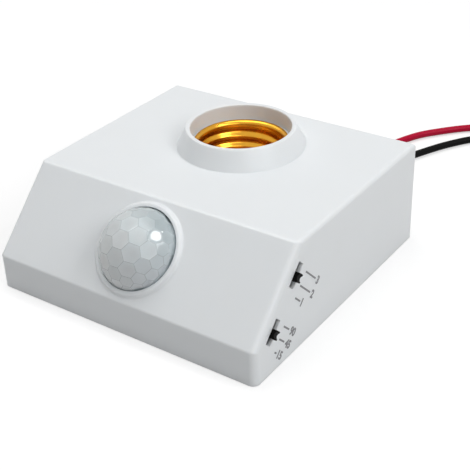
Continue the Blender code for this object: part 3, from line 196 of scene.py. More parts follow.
# Slide switches, their slots in the right side, and their knobs
SWITCHES = (("light", 0.02305), ("delay", 0.00728))
SLOT_LENGTH = 0.0071
SLOT_HEIGHT = 0.0026
SLOT_DEPTH = 0.0049
SLOT_CORNER = 0.0003
SLOT_EDGE = 0.00012
SLOT_LAND = 0.0010
SLOT_FLARE = 0.0006
KNOB_SHIFT = -0.0004
KNOB_LENGTH = 0.0025
KNOB_THICKNESS = 0.0019
KNOB_REACH = 0.00135
KNOB_SADDLE = 0.0005
SLIDER_LENGTH = 0.0044
SLIDER_THICKNESS = 0.0028
SLIDER_WIDTH = 0.0024
SLIDER_ROUNDING = GAP / 3
KNOB_ROUNDING = GAP / 2
KNOB_ROUNDING_STEPS = 5
SADDLE_SIDES = 128
KNOB_TRAVEL = 0.0015
SWITCH_LENGTH = 0.0096
SWITCH_WIDTH = 0.0058
SWITCH_HEIGHT = 0.0042
SWITCH_SHEET = 0.0003
SWITCH_RIGHT_X = 0.0414

# Marks beside the slots: number, place up the slope, start behind the slope and length of line
MARK_ROWS = {
    "light": (
        ("3", 0.0254, 0.0092, 0.0070),
        ("2", 0.0214, 0.0092, 0.0070),
        ("1", 0.0179, 0.0092, 0.0034),
    ),
    "delay": (
        ("90", 0.0100, 0.0092, 0.0036),
        ("45", 0.0065, 0.0095, 0.0033),
        ("15", 0.0029, 0.0099, 0.0012),
    ),
}
MARK_SIZE = 0.0031
MARK_BOLD = 0.045
MARK_CURVE_STEPS = 6
MARK_LINE = 0.00050
MARK_GAP = 0.0009
MARK_RISE = 0.00002

# Screws and the posts that they enter
SCREW_HOLE_RADIUS = 0.0014
POST_RADIUS = 0.0026
SOCKET_EAR_X = 0.0192
SOCKET_SCREW_LENGTH = 0.0090
BOARD_SCREW_LENGTH = 0.0065
POWER_BOARD_TOP_Z = 0.0071
POWER_POSTS = tuple((side * 0.0372, y) for y in (-0.00901, 0.0290) for side in (-1, 1))
SENSOR_BOARD_DEPTH = 0.0074
SENSOR_POSTS = ((-0.0310, 0.0065), (-0.0310, 0.0250), (0.0250, 0.0250))

# Base plate
PLATE = 0.0020
PLATE_ROUNDING = 0.0002
BASE_SCREW_X = 0.0382
BASE_SCREW_Y = 0.0372
BASE_SCREW_RADIUS = 0.0014
BASE_SCREW_HEAD_RADIUS = 0.0025
BASE_SCREW_LENGTH = 0.0100
BASE_BOSS_RADIUS = 0.0033
BOSS_WEB = 0.0012
CUP_TOP_Z = 0.0039
CUP_FLOOR = 0.0016
CUP_WALL = 0.0013
CUP_SIDES = 64
CUP_HOLE_SIDES = 48
PLATE_RIB_X = 0.0140
PLATE_RIB = 0.0012
PLATE_RIB_TOP_Z = 0.0034
PLATE_RIB_INSET = 0.0050
HOOK_X = 0.0180
HOOK_WIDTH = 0.0080
HOOK_THICKNESS = 0.0013
LEDGE_REACH = 0.0015
LEDGE_LOW_Z = 0.0032
LEDGE_THICKNESS = 0.0012
KEYHOLE_X = 0.0250
KEYHOLE_Y = -0.0240
KEYHOLE_RADIUS = 0.0040
KEYHOLE_SLOT = 0.0042
KEYHOLE_LENGTH = 0.0080
KEYHOLE_STEPS = 72
KEYHOLE_END_STEPS = 32

# Leads: their routes are the model's own
LEAD_RADIUS = 0.00125
RED_HOLE_X = 0.0030
BLACK_HOLE_X = 0.0090
LEAD_EXIT_Y = 0.0443
LEAD_HOLE_Z = 0.0042
LYING_Z = LEAD_RADIUS + 0.00005
TIP_LENGTH = 0.0070
STRAND_RADIUS = 0.0002
STRAND_CIRCLE = 0.0004
STRAND_TWIST = 0.0090
STRANDS = 6
STRAND_SIDES = 10
STRAND_STEPS = 28
CORE_STEPS = 8
CURVE_STEPS = 24
LEAD_STEP = 0.0036
FLEX_STEP = 0.0015
FLEX_ROUNDNESS = 6
RED_ROUTE = (
    (RED_HOLE_X, LEAD_EXIT_Y, LEAD_HOLE_Z),
    (RED_HOLE_X, 0.0490, LEAD_HOLE_Z - 0.0001),
    (0.0034, 0.0550, 0.0031),
    (0.0042, 0.0620, 0.0017),
    (0.0054, 0.0700, LYING_Z),
    (0.0075, 0.0810, LYING_Z),
    (0.0105, 0.0940, LYING_Z),
    (0.0154, 0.1068, LYING_Z),
    (0.0210, 0.1147, LYING_Z),
    (0.0289, 0.1231, LYING_Z),
    (0.0375, 0.1290, LYING_Z),
    (0.0480, 0.1315, LYING_Z),
    (0.0575, 0.1290, LYING_Z),
)
BLACK_ROUTE = (
    (BLACK_HOLE_X, LEAD_EXIT_Y, LEAD_HOLE_Z),
    (BLACK_HOLE_X, 0.0490, LEAD_HOLE_Z - 0.0001),
    (0.0096, 0.0550, 0.0031),
    (0.0110, 0.0620, 0.0017),
    (0.0130, 0.0700, LYING_Z),
    (0.0168, 0.0810, LYING_Z),
    (0.0228, 0.0949, LYING_Z),
    (0.0265, 0.1029, LYING_Z),
    (0.0298, 0.1087, LYING_Z),
    (0.0345, 0.1152, LYING_Z),
    (0.0420, 0.1210, LYING_Z),
    (0.0510, 0.1228, LYING_Z),
    (0.0600, 0.1195, LYING_Z),
    (0.0665, 0.1130, LYING_Z),
)


def new_material(name):
    """A material with its node tree, its shader and the object's own coordinates."""
    material = bpy.data.materials.new(name)
    material.use_nodes = True
    tree = material.node_tree
    place = tree.nodes.new("ShaderNodeTexCoord").outputs["Object"]
    return material, tree, tree.nodes["Principled BSDF"], place


def noise(tree, place, scale):
    node = tree.nodes.new("ShaderNodeTexNoise")
    node.inputs["Scale"].default_value = scale
    node.inputs["Detail"].default_value = NOISE_DETAIL
    tree.links.new(place, node.inputs["Vector"])
    return node.outputs["Fac"]


def ramp(tree, value, stops):
    """A colour ramp over (position, colour) stops."""
    node = tree.nodes.new("ShaderNodeValToRGB")
    elements = node.color_ramp.elements
    while len(elements) < len(stops):
        elements.new(0.5)
    for element, (position, colour) in zip(elements, stops):
        element.position = position
        element.color = (*colour, 1.0)
    tree.links.new(value, node.inputs["Fac"])
    return node.outputs["Color"]


def spread(tree, value, low, high):
    """A noise value, spread over a range."""
    node = tree.nodes.new("ShaderNodeMapRange")
    node.inputs["From Min"].default_value = NOISE_LOW
    node.inputs["From Max"].default_value = NOISE_HIGH
    node.inputs["To Min"].default_value = low
    node.inputs["To Max"].default_value = high
    tree.links.new(value, node.inputs["Value"])
    return node.outputs["Result"]


def bump(tree, shader, height, strength, distance):
    node = tree.nodes.new("ShaderNodeBump")
    node.inputs["Strength"].default_value = strength
    node.inputs["Distance"].default_value = distance
    tree.links.new(height, node.inputs["Height"])
    tree.links.new(node.outputs["Normal"], shader.inputs["Normal"])


def tinted(colour, factor):
    return tuple(min(1.0, c * factor) for c in colour)


def mottled(tree, shader, place, colour, scale, contrast):
    """A base colour with soft, slight variation."""
    dark, light = tinted(colour, 1 - contrast), tinted(colour, 1 + contrast)
    stops = ((NOISE_LOW, dark), (NOISE_HIGH, light))
    shade = ramp(tree, noise(tree, place, scale), stops)
    tree.links.new(shade, shader.inputs["Base Color"])
    return shade


def plastic(
    name, colour, roughness, depth=GRAIN_DEPTH, contrast=0.012, gloss=0.5, cloud=0.04, glow=0.0
):
    """Moulded plastic: a satin skin with a fine grain, slight clouding and a soft inner glow."""
    material, tree, shader, place = new_material(name)
    shader.inputs["Specular IOR Level"].default_value = gloss
    shader.inputs["Subsurface Weight"].default_value = glow
    shader.inputs["Subsurface Radius"].default_value = GLOW_RADIUS
    shader.inputs["Subsurface Scale"].default_value = 1.0
    mottled(tree, shader, place, colour, PLASTIC_CLOUDING, contrast)
    patches = noise(tree, place, PLASTIC_GLOSS)
    rough = spread(tree, patches, roughness - cloud, roughness + cloud)
    tree.links.new(rough, shader.inputs["Roughness"])
    bump(tree, shader, noise(tree, place, PLASTIC_GRAIN), PLASTIC_BUMP, depth)
    return material


def metal(name, colour, roughness):
    """Bright sheet metal with faint rolling marks."""
    material, tree, shader, place = new_material(name)
    shader.inputs["Metallic"].default_value = 1.0
    mottled(tree, shader, place, colour, METAL_CLOUDING, METAL_CONTRAST)
    low, high = (roughness * share for share in METAL_ROUGHNESS_SHARES)
    rough = spread(tree, noise(tree, place, METAL_GLOSS), low, high)
    tree.links.new(rough, shader.inputs["Roughness"])
    bump(tree, shader, noise(tree, place, METAL_GRAIN), METAL_BUMP, GRAIN_DEPTH)
    return material


def lens_plastic():
    """Milky polyethylene: each cell has a tone of its own, a random one with painted shade by the
    way it faces, and the seams are darker.
    """
    material, tree, shader, place = new_material("lens")
    shade = mottled(tree, shader, place, LENS_COLOUR, LENS_CLOUDING, LENS_CONTRAST)
    cell = tree.nodes.new("ShaderNodeVertexColor")
    cell.layer_name = "cell_tone_and_painted_shade"
    mix = tree.nodes.new("ShaderNodeMix")
    mix.data_type = "RGBA"
    mix.blend_type = "MULTIPLY"
    mix.inputs["Factor"].default_value = 1.0
    tree.links.new(shade, mix.inputs["A"])
    tree.links.new(cell.outputs["Color"], mix.inputs["B"])
    tree.links.new(mix.outputs["Result"], shader.inputs["Base Color"])
    rough = spread(tree, noise(tree, place, LENS_GLOSS), *LENS_ROUGHNESS)
    tree.links.new(rough, shader.inputs["Roughness"])
    shader.inputs["Subsurface Weight"].default_value = LENS_GLOW
    shader.inputs["Subsurface Radius"].default_value = LENS_GLOW_RADIUS
    shader.inputs["Subsurface Scale"].default_value = 1.0
    bump(tree, shader, noise(tree, place, LENS_GRAIN), LENS_BUMP, GRAIN_DEPTH)
    return material


MATERIALS = {
    "white_plastic": plastic(
        "white_plastic", (0.79, 0.815, 0.83), 0.30, depth=0.000002, contrast=0.006, cloud=0.012,
        glow=0.4,
    ),
    "black_plastic": plastic("black_plastic", (0.002, 0.002, 0.002), 0.55, gloss=0.06),
    "cream_plastic": plastic("cream_plastic", (0.74, 0.66, 0.50), 0.50, contrast=0.05),
    "blue_plastic": plastic("blue_plastic", (0.03, 0.09, 0.32), 0.40),
    "yellow_plastic": plastic("yellow_plastic", (0.72, 0.48, 0.06), 0.38),
    "lens": lens_plastic(),
    "brass": metal("brass", (0.68, 0.335, 0.035), 0.20),
    "steel": metal("steel", (0.72, 0.72, 0.73), 0.34),
    "tinned_copper": metal("tinned_copper", (0.72, 0.70, 0.67), 0.28),
    "board": plastic("board", (0.36, 0.20, 0.07), 0.45, contrast=0.10),
    "red_insulation": plastic("red_insulation", (0.45, 0.002, 0.032), 0.38, gloss=0.12),
    "black_insulation": plastic("black_insulation", (0.002, 0.002, 0.002), 0.45, gloss=0.07),
    "grey_ribbon": plastic("grey_ribbon", (0.33, 0.33, 0.35), 0.45),
}
PRINT = plastic("mark_print", (0.22, 0.22, 0.23), 0.55)


def dress_nodes():
    """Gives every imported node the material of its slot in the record."""
    for part in frame["record"]["subparts"]:
        node = frame["nodes"][part["node"]]
        node.data.materials.clear()
        node.data.materials.append(MATERIALS[part["material_slot"]])


def mesh_object(name, bm, matrix=None):
    """An object from a bmesh, in place and with its faces pointing out."""
    if matrix:
        bmesh.ops.transform(bm, matrix=matrix, verts=bm.verts)
    bmesh.ops.recalc_face_normals(bm, faces=bm.faces)
    mesh = bpy.data.meshes.new(name)
    bm.to_mesh(mesh)
    bm.free()
    obj = bpy.data.objects.new(name, mesh)
    bpy.context.scene.collection.objects.link(obj)
    return obj


def box(name, low, high, matrix=None, rounding=0.0, segments=3):
    """A block between two corners, with its edges rounded."""
    bm = bmesh.new()
    bmesh.ops.create_cube(bm, size=1.0)
    low, high = Vector(low), Vector(high)
    bmesh.ops.scale(bm, vec=high - low, verts=bm.verts)
    bmesh.ops.translate(bm, vec=(high + low) / 2, verts=bm.verts)
    if rounding:
        bmesh.ops.bevel(
            bm, geom=bm.edges, offset=rounding, segments=segments, profile=0.5, affect="EDGES"
        )
    return mesh_object(name, bm, matrix)


def arc(centre, radius, start, end, count):
    """Points on an arc in a profile, from one angle in degrees to another."""
    angles = [math.radians(start + (end - start) * i / count) for i in range(count + 1)]
    return [(centre[0] + radius * math.cos(a), centre[1] + radius * math.sin(a)) for a in angles]


def turns(count):
    """Evenly spaced angles round a circle."""
    return [2 * math.pi * k / count for k in range(count)]


def bridge(bm, a, b):
    """Faces between two rings that have as many vertices as each other."""
    for k in range(len(a)):
        n = (k + 1) % len(a)
        bm.faces.new((a[k], a[n], b[n], b[k]))


def turned(name, profile, sides=ROUND_SIDES, matrix=None):
    """A profile of (radius, height) turned about Z. One that starts off the axis is a ring."""
    bm = bmesh.new()
    rings = []
    for radius, z in profile:
        angles = turns(sides) if radius > 0 else [0.0]
        rings.append(
            [bm.verts.new((radius * math.cos(a), radius * math.sin(a), z)) for a in angles]
        )
    pairs = list(zip(rings, rings[1:]))
    if len(rings[0]) > 1:
        pairs.append((rings[-1], rings[0]))
    for a, b in pairs:
        for k in range(sides):
            n = (k + 1) % sides
            corners = (a[k % len(a)], a[n % len(a)], b[n % len(b)], b[k % len(b)])
            bm.faces.new(dict.fromkeys(corners))
    return mesh_object(name, bm, matrix)


def cylinder(name, radius, low, high, matrix=None, sides=POST_SIDES):
    """A round bar along Z between two heights."""
    return turned(name, [(0, low), (radius, low), (radius, high), (0, high)], sides, matrix)


def loft(name, layers, matrix=None):
    """A closed solid through outlines of (x, y) at their heights."""
    bm = bmesh.new()
    rings = [[bm.verts.new((x, y, z)) for x, y in outline] for outline, z in layers]
    for a, b in zip(rings, rings[1:]):
        bridge(bm, a, b)
    bm.faces.new(rings[0])
    bm.faces.new(rings[-1])
    return mesh_object(name, bm, matrix)


def rounded_outline(half_x, half_y, radius):
    """A rectangle about the origin with round corners."""
    outline = []
    for x, y, start in ((1, 1, 0), (-1, 1, 90), (-1, -1, 180), (1, -1, 270)):
        centre = (x * (half_x - radius), y * (half_y - radius))
        outline += arc(centre, radius, start, start + 90, CORNER_STEPS)
    return outline


def settle(obj):
    """Puts an object's modifiers into its mesh."""
    graph = bpy.context.evaluated_depsgraph_get()
    mesh = bpy.data.meshes.new_from_object(obj.evaluated_get(graph))
    obj.modifiers.clear()
    obj.data = mesh


def work(obj, steps):
    """Joins tools to an object and cuts tools from it, in turn, and removes the tools."""
    for operation, tool in steps:
        modifier = obj.modifiers.new(tool.name, "BOOLEAN")
        modifier.operation = operation
        modifier.solver = "EXACT"
        modifier.object = tool
    settle(obj)
    for _, tool in steps:
        bpy.data.objects.remove(tool, do_unlink=True)


def piece(obj, slot, nodes=(), body="holder", angle=35, material=None):
    """A finished piece: its material, its shading, its body and the nodes it stands for."""
    mesh = obj.data
    mesh.materials.clear()
    mesh.materials.append(material or MATERIALS[slot])
    mesh.shade_smooth()
    mesh.set_sharp_from_angle(angle=math.radians(angle))
    normals = obj.modifiers.new("Normals", "WEIGHTED_NORMAL")
    normals.keep_sharp = True
    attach(obj, body)
    if nodes:
        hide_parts(*nodes)
    return obj


def side_outline(inset, bottom):
    """The housing's side outline in Y and Z, moved inwards, from front bottom to back bottom."""
    sine, cosine = math.sin(SLOPE_ANGLE), math.cos(SLOPE_ANGLE)
    top = TOP_Z - inset
    low_along = inset * (1 - sine) / cosine
    high_along = (top - LIP_HEIGHT + inset * cosine) / sine
    return (
        (FRONT_Y + inset, bottom),
        (FRONT_Y + inset, LIP_HEIGHT + low_along * sine - inset * cosine),
        (FRONT_Y + high_along * cosine + inset * sine, top),
        (BACK_Y - inset, top),
        (BACK_Y - inset, bottom),
    )


def housing_block(name, inset, bottom, across, along):
    """The housing's outer form or its hollow, which is its side outline drawn out to both sides.

    Each corner of the outline has the radius of the edge that goes across from it, and of the
    edges that go along the outline from it to the next corner.
    """
    outline = side_outline(inset, bottom)
    half = SIDE_X - inset
    widest = max(*across, *along)
    bm = bmesh.new()
    weight = bm.edges.layers.float.new("bevel_weight_edge")
    face = bm.faces.new([bm.verts.new((-half, y, z)) for y, z in outline])
    raised = bmesh.ops.extrude_face_region(bm, geom=[face])["geom"]
    moved = [item for item in raised if isinstance(item, bmesh.types.BMVert)]
    bmesh.ops.translate(bm, vec=(2 * half, 0, 0), verts=moved)
    places = [Vector((y, z)) for y, z in outline]
    last = len(places) - 1
    for edge in bm.edges:
        ends = [
            min(range(len(places)), key=lambda i: (places[i] - v.co.yz).length) for v in edge.verts
        ]
        if ends[0] == ends[1]:
            radius = across[ends[0]]
        elif set(ends) == {0, last}:
            radius = along[last]
        else:
            radius = along[min(ends)]
        edge[weight] = radius / widest
    obj = mesh_object(name, bm)
    bevel = obj.modifiers.new("Edges", "BEVEL")
    bevel.width = widest
    bevel.segments = EDGE_SEGMENTS
    bevel.limit_method = "WEIGHT"
    return obj


def socket_column():
    """The collar above the roof and the well below it, before the bore is cut."""
    foot = COLLAR_RADIUS + COLLAR_FILLET
    profile = [
        (0, RIM_Z),
        *arc((RIM_RADIUS - RIM_ROUNDING, RIM_Z - RIM_ROUNDING), RIM_ROUNDING, 90, 10, 7),
        *arc((foot, TOP_Z + COLLAR_FILLET), COLLAR_FILLET, 180, 270, 10)[:-1],
        (foot, TOP_Z - WALL / 8),
        (foot, TOP_Z - WALL / 2),
        (WELL_OUTER_RADIUS, TOP_Z - WALL / 2),
        (WELL_OUTER_RADIUS, WELL_BOTTOM_Z),
        (0, WELL_BOTTOM_Z),
    ]
    return turned("socket_column", profile, matrix=SOCKET)


def socket_bore():
    """The space inside the collar and the well, with a ledge under the shell's rim."""
    profile = [
        (0, RIM_Z + PAST),
        (MOUTH_RADIUS + MOUTH_CHAMFER + PAST, RIM_Z + PAST),
        *arc((MOUTH_RADIUS + MOUTH_CHAMFER, RIM_Z - MOUTH_CHAMFER), MOUTH_CHAMFER, 100, 180, 5),
        (MOUTH_RADIUS, LEDGE_Z),
        (WELL_RADIUS, LEDGE_Z),
        (WELL_RADIUS, WELL_BOTTOM_Z - PAST),
        (0, WELL_BOTTOM_Z - PAST),
    ]
    return turned("socket_bore", profile, matrix=SOCKET)


def lens_ring():
    """The raised ring round the lens, before its hole is cut."""
    foot = RING_RADIUS + RING_FILLET
    shoulder = (RING_RADIUS - RING_ROUNDING, RING_HEIGHT - RING_ROUNDING)
    profile = [
        (0, RING_HEIGHT),
        *arc(shoulder, RING_ROUNDING, 90, 30, 8),
        *arc((foot, RING_FILLET), RING_FILLET, 200, 262, 8),
        (foot, -WALL / 8),
        (foot, -WALL / 2),
        (0, -WALL / 2),
    ]
    return turned("lens_ring", profile, matrix=LENS)


def lens_seat():
    """The low rim behind the slope that keeps the lens's flange in its place."""
    inner = LENS_FLANGE_RADIUS + GAP
    outer = inner + SEAT_RIM
    profile = [(inner, -WALL / 2), (outer, -WALL / 2), (outer, -SEAT_DEPTH), (inner, -SEAT_DEPTH)]
    return turned("lens_seat", profile, matrix=LENS)


def lens_hole():
    """The hole for the lens, with a softened edge."""
    radius = LENS_RADIUS + LENS_PLAY
    edge = LENS_HOLE_EDGE
    profile = [
        (0, RING_HEIGHT + WALL),
        (radius + edge + WALL / 2, RING_HEIGHT + WALL),
        *arc((radius + edge, RING_HEIGHT - edge), edge, 120, 180, 3),
        (radius, -2 * WALL),
        (0, -2 * WALL),
    ]
    return turned("lens_hole", profile, matrix=LENS @ Matrix.Translation(LENS_HOLE_SHIFT))


def switch_slot(name, along):
    """A slot through the right side, with softened edges."""
    half_y, half_z = SLOT_LENGTH / 2, SLOT_HEIGHT / 2
    layers = []
    steps = (
        (SLOT_FLARE, -2 * WALL), (SLOT_FLARE, -SLOT_LAND), (0, -SLOT_LAND), (0, -SLOT_EDGE),
        (SLOT_EDGE, 0), (SLOT_EDGE + WALL, WALL),
    )
    for grow, x in steps:
        outline = rounded_outline(half_y + grow, half_z + grow, SLOT_CORNER + grow)
        layers.append((outline, x))
    turn = Matrix(((0, 0, 1, 0), (1, 0, 0, 0), (0, 1, 0, 0), (0, 0, 0, 1)))
    place = SLOPE @ Matrix.Translation((SIDE_X, along, -SLOT_DEPTH)) @ turn
    return loft(name, layers, place)


def roof_post(name, x, y, radius, bottom):
    return cylinder(name, radius, bottom, TOP_Z - WALL / 2, Matrix.Translation((x, y, 0)))


def pilot_hole(name, x, y, radius, bottom, depth):
    return cylinder(name, radius, bottom - PAST, bottom + depth, Matrix.Translation((x, y, 0)))


def screw_post(name, x, y, bottom, depth):
    """A post under the roof with its pilot hole."""
    return [
        ("UNION", roof_post(f"{name}_post", x, y, POST_RADIUS, bottom)),
        ("DIFFERENCE", pilot_hole(f"{name}_pilot", x, y, SCREW_HOLE_RADIUS, bottom, depth)),
    ]


def sensor_post(x, along):
    """A post behind the slope, for the sensor board, with its pilot hole."""
    end = -(SENSOR_BOARD_DEPTH - GAP)
    place = SLOPE @ Matrix.Translation((x, along, 0))
    hole = cylinder("sensor_pilot", SCREW_HOLE_RADIUS, end - WALL, -WALL - GAP, place)
    return [
        ("UNION", cylinder("sensor_post", POST_RADIUS, end, -WALL / 2, place)),
        ("DIFFERENCE", hole),
    ]


def lead_hole(x):
    """A hole through the back wall."""
    turn = Matrix.Rotation(math.radians(90), 4, "X")
    place = Matrix.Translation((x, BACK_Y, LEAD_HOLE_Z)) @ turn
    return cylinder("lead_hole", LEAD_RADIUS + GAP, -2 * WALL, 2 * WALL, place)


def boss_steps(side):
    """A boss for a base screw, with a web to each wall and its pilot hole."""
    x, y, bottom = side * BASE_SCREW_X, BASE_SCREW_Y, CUP_TOP_Z + GAP
    top = TOP_Z - WALL / 2
    wall_x = side * (SIDE_X - WALL / 2)
    half = BOSS_WEB / 2
    side_web = ((min(x, wall_x), y - half, bottom), (max(x, wall_x), y + half, top))
    back_web = ((x - half, y, bottom), (x + half, BACK_Y - WALL / 2, top))
    hole = pilot_hole("base_pilot", x, y, BASE_SCREW_RADIUS + GAP, bottom, BASE_SCREW_LENGTH)
    return [
        ("UNION", roof_post("base_boss", x, y, BASE_BOSS_RADIUS, bottom)),
        ("UNION", box("side_web", *side_web)),
        ("UNION", box("back_web", *back_web)),
        ("DIFFERENCE", hole),
    ]


def hook_ledge(side):
    """A ledge inside the front wall that holds the base plate's hook."""
    half = HOOK_WIDTH / 2 + GAP
    low = (side * HOOK_X - half, FRONT_Y + WALL / 2, LEDGE_LOW_Z)
    high = (side * HOOK_X + half, FRONT_Y + WALL + LEDGE_REACH, LEDGE_LOW_Z + LEDGE_THICKNESS)
    return box("hook_ledge", low, high)


def housing_moulding():
    """The one moulded cover, inside and out."""
    body = housing_block(
        "housing_moulding", 0.0, 0.0,
        across=(0.0, LIP_EDGE_RADIUS, SLOPE_TOP_RADIUS, SIDE_EDGE_RADIUS, 0.0),
        along=(FRONT_CORNER_RADIUS, SLOPE_SIDE_RADIUS, SIDE_EDGE_RADIUS, BACK_CORNER_RADIUS, 0.0),
    )
    inner = CORNER_RADIUS - WALL
    hollow = housing_block(
        "housing_hollow", WALL, -WALL,
        across=(0.0, 0.0, 0.0, 0.0, 0.0), along=(inner, 0.0, 0.0, inner, 0.0),
    )
    steps = [
        ("DIFFERENCE", hollow),
        ("UNION", socket_column()),
        ("UNION", lens_ring()),
        ("UNION", lens_seat()),
    ]
    for side in (-1, 1):
        steps.append(("UNION", hook_ledge(side)))
        steps += boss_steps(side)
        x = side * SOCKET_EAR_X
        steps += screw_post("socket", x, SOCKET_Y, WELL_BOTTOM_Z, SOCKET_SCREW_LENGTH)
    for x, y in POWER_POSTS:
        steps += screw_post("power", x, y, POWER_BOARD_TOP_Z + GAP, BOARD_SCREW_LENGTH)
    for x, along in SENSOR_POSTS:
        steps += sensor_post(x, along)
    steps.append(("DIFFERENCE", socket_bore()))
    steps.append(("DIFFERENCE", lens_hole()))
    for name, along in SWITCHES:
        steps.append(("DIFFERENCE", switch_slot(f"{name}_slot", along)))
    for x in (RED_HOLE_X, BLACK_HOLE_X):
        steps.append(("DIFFERENCE", lead_hole(x)))
    work(body, steps)
    piece(body, "white_plastic", ["housing"], angle=25)


def thread_radius(turn, height):
    """The rolled sheet's inner radius: a round-crested thread that fades out at both ends."""
    middle = (THREAD_CREST_RADIUS + THREAD_ROOT_RADIUS) / 2
    swing = (THREAD_CREST_RADIUS - THREAD_ROOT_RADIUS) / 2
    fade = THREAD_PITCH / 2
    from_top = (SHELL_TOP_Z - SHELL_FLARE - height) / fade
    from_bottom = (height - SHELL_BOTTOM_Z) / fade
    strength = max(0.0, min(1.0, from_top, from_bottom))
    return middle + swing * strength * math.cos(2 * math.pi * (height / THREAD_PITCH - turn))


def rolled_shell():
    """The rolled screw shell: a helical sheet with a flared rim, thickened outwards."""
    low, high = SHELL_BOTTOM_Z, SHELL_TOP_Z - SHELL_FLARE
    count = math.ceil((high - low) / THREAD_PITCH * ROWS_PER_PITCH)
    rows = []
    for i in range(count + 1):
        z = low + (high - low) * i / count
        rows.append([(thread_radius(k / THREAD_SIDES, z), z) for k in range(THREAD_SIDES)])
    flare = SHELL_RIM_RADIUS - rows[-1][0][0]
    for i in range(1, FLARE_STEPS + 1):
        angle = math.radians(90 * i / FLARE_STEPS)
        share = 1 - math.cos(angle)
        rise = math.sin(angle) * SHELL_FLARE
        rows.append([(r + flare * share, high + rise) for r, _ in rows[count]])
    bm = bmesh.new()
    rings = []
    for row in rows:
        spots = zip(turns(THREAD_SIDES), row)
        rings.append([bm.verts.new((r * math.cos(a), r * math.sin(a), z)) for a, (r, z) in spots])
    for a, b in zip(rings, rings[1:]):
        bridge(bm, a, b)
    mesh = bpy.data.meshes.new("rolled_shell")
    bm.to_mesh(mesh)
    bm.free()
    mesh.transform(SOCKET)
    shell = bpy.data.objects.new("rolled_shell", mesh)
    bpy.context.scene.collection.objects.link(shell)
    solidify = shell.modifiers.new("Sheet", "SOLIDIFY")
    solidify.thickness = SHELL_SHEET
    solidify.offset = 1.0
    settle(shell)
    piece(shell, "brass", ["screw_shell"], angle=50)


def cell_directions():
    """The directions of the lens's cells: a honeycomb wrapped evenly over the dome."""
    across = Vector((math.cos(math.radians(30)), math.sin(math.radians(30)))) * CELL_ANGLE
    upward = Vector((0, 1)) * CELL_ANGLE
    directions = []
    for i in range(-CELL_RINGS, CELL_RINGS + 1):
        for k in range(-CELL_RINGS, CELL_RINGS + 1):
            if abs(i + k) > CELL_RINGS:
                continue
            spot = across * i + upward * k
            tilt = spot.length
            side = spot.normalized() if tilt else spot
            if tilt > CELL_EVEN_TILT:
                tilt = CELL_EVEN_TILT + (tilt - CELL_EVEN_TILT) * CELL_OUTER_SHARE
            directions.append(Vector((*(side * math.sin(tilt)), math.cos(tilt))))
    return directions


def cell_tint(normal, value):
    """A cell's tone and tint, from the way it faces: painted shade makes it lighter to the left and
    darker to the top.
    """
    # Painted light and shade: the random tone is lightened for cells facing left and darkened for
    # cells facing right and up
    value *= CELL_SHADE - CELL_PAINTED_SHADE_RIGHT * normal.x - CELL_PAINTED_SHADE_UP * max(0.0, normal.y)
    value = min(CELL_SHADE_MOST, value)
    shares = (1.0, 1.0, 1.0)
    for (right, up), changes in (GREENISH, BLUISH, PINKISH):
        amount = max(0.0, right * normal.x + up * normal.y)
        shares = [share + change * amount for share, change in zip(shares, changes)]
    return (*[value * share for share in shares], 1.0)


def cut_dome(centre, bottom):
    """A bar that ends below at a height, and above in a dome of flat cells."""
    top = centre + DOME_RADIUS
    bm = bmesh.new()
    bmesh.ops.create_cone(
        bm, cap_ends=True, segments=ROUND_SIDES, radius1=LENS_RADIUS, radius2=LENS_RADIUS,
        depth=top - bottom,
    )
    bmesh.ops.translate(bm, vec=(0, 0, (top + bottom) / 2), verts=bm.verts)
    for direction in cell_directions():
        geom = [*bm.verts, *bm.edges, *bm.faces]
        point = Vector((0, 0, centre)) + direction * (DOME_RADIUS - CELL_SAG)
        sliced = bmesh.ops.bisect_plane(
            bm, geom=geom, dist=CUT_MERGE, plane_co=point, plane_no=direction, clear_outer=True
        )
        rim = [item for item in sliced["geom_cut"] if isinstance(item, bmesh.types.BMEdge)]
        if rim:
            bmesh.ops.contextual_create(bm, geom=rim)
    bmesh.ops.recalc_face_normals(bm, faces=bm.faces)
    return bm


def nearest(face, others):
    """The one of the other faces whose middle is closest."""
    middle = face.calc_center_median()
    return min(others, key=lambda other: (other.calc_center_median() - middle).length)


def paint(faces, layer, colour):
    for face in faces:
        for loop in face.loops:
            loop[layer] = colour


def dress_cells(bm):
    """Insets a seam round each cell, crowns the cell, and gives it a tone of its own: a random one
    with painted shade by the way it faces.
    """
    shade = bm.loops.layers.float_color.new("cell_tone_and_painted_shade")
    bm.faces.ensure_lookup_table()
    upper = [f for f in bm.faces if f.normal.z > CELL_LEAST_RISE]
    cells = [f for f in upper if f.calc_area() > CELL_LEAST_AREA]
    tone = random.Random(CELL_SEED)
    paint(bm.faces, shade, NECK_SHADE)
    seams = bmesh.ops.inset_individual(bm, faces=cells, thickness=CELL_SEAM, depth=0.0)["faces"]
    paint(seams, shade, SEAM_SHADE)
    # Each cell's tone: a random value times painted shade, which is lighter for cells facing left
    # and darker for cells facing up
    tones = {face: cell_tint(face.normal, tone.uniform(*CELL_RANDOM)) for face in cells}
    for width, rise in CELL_CROWN:
        fit = [f for f in cells if f.is_valid and f.calc_area() > CROWN_LEAST_AREA]
        rims = bmesh.ops.inset_individual(bm, faces=fit, thickness=width, depth=rise)["faces"]
        for face in rims:
            paint([face], shade, tones[nearest(face, fit)])
    for face in cells:
        paint([face], shade, tones[face])


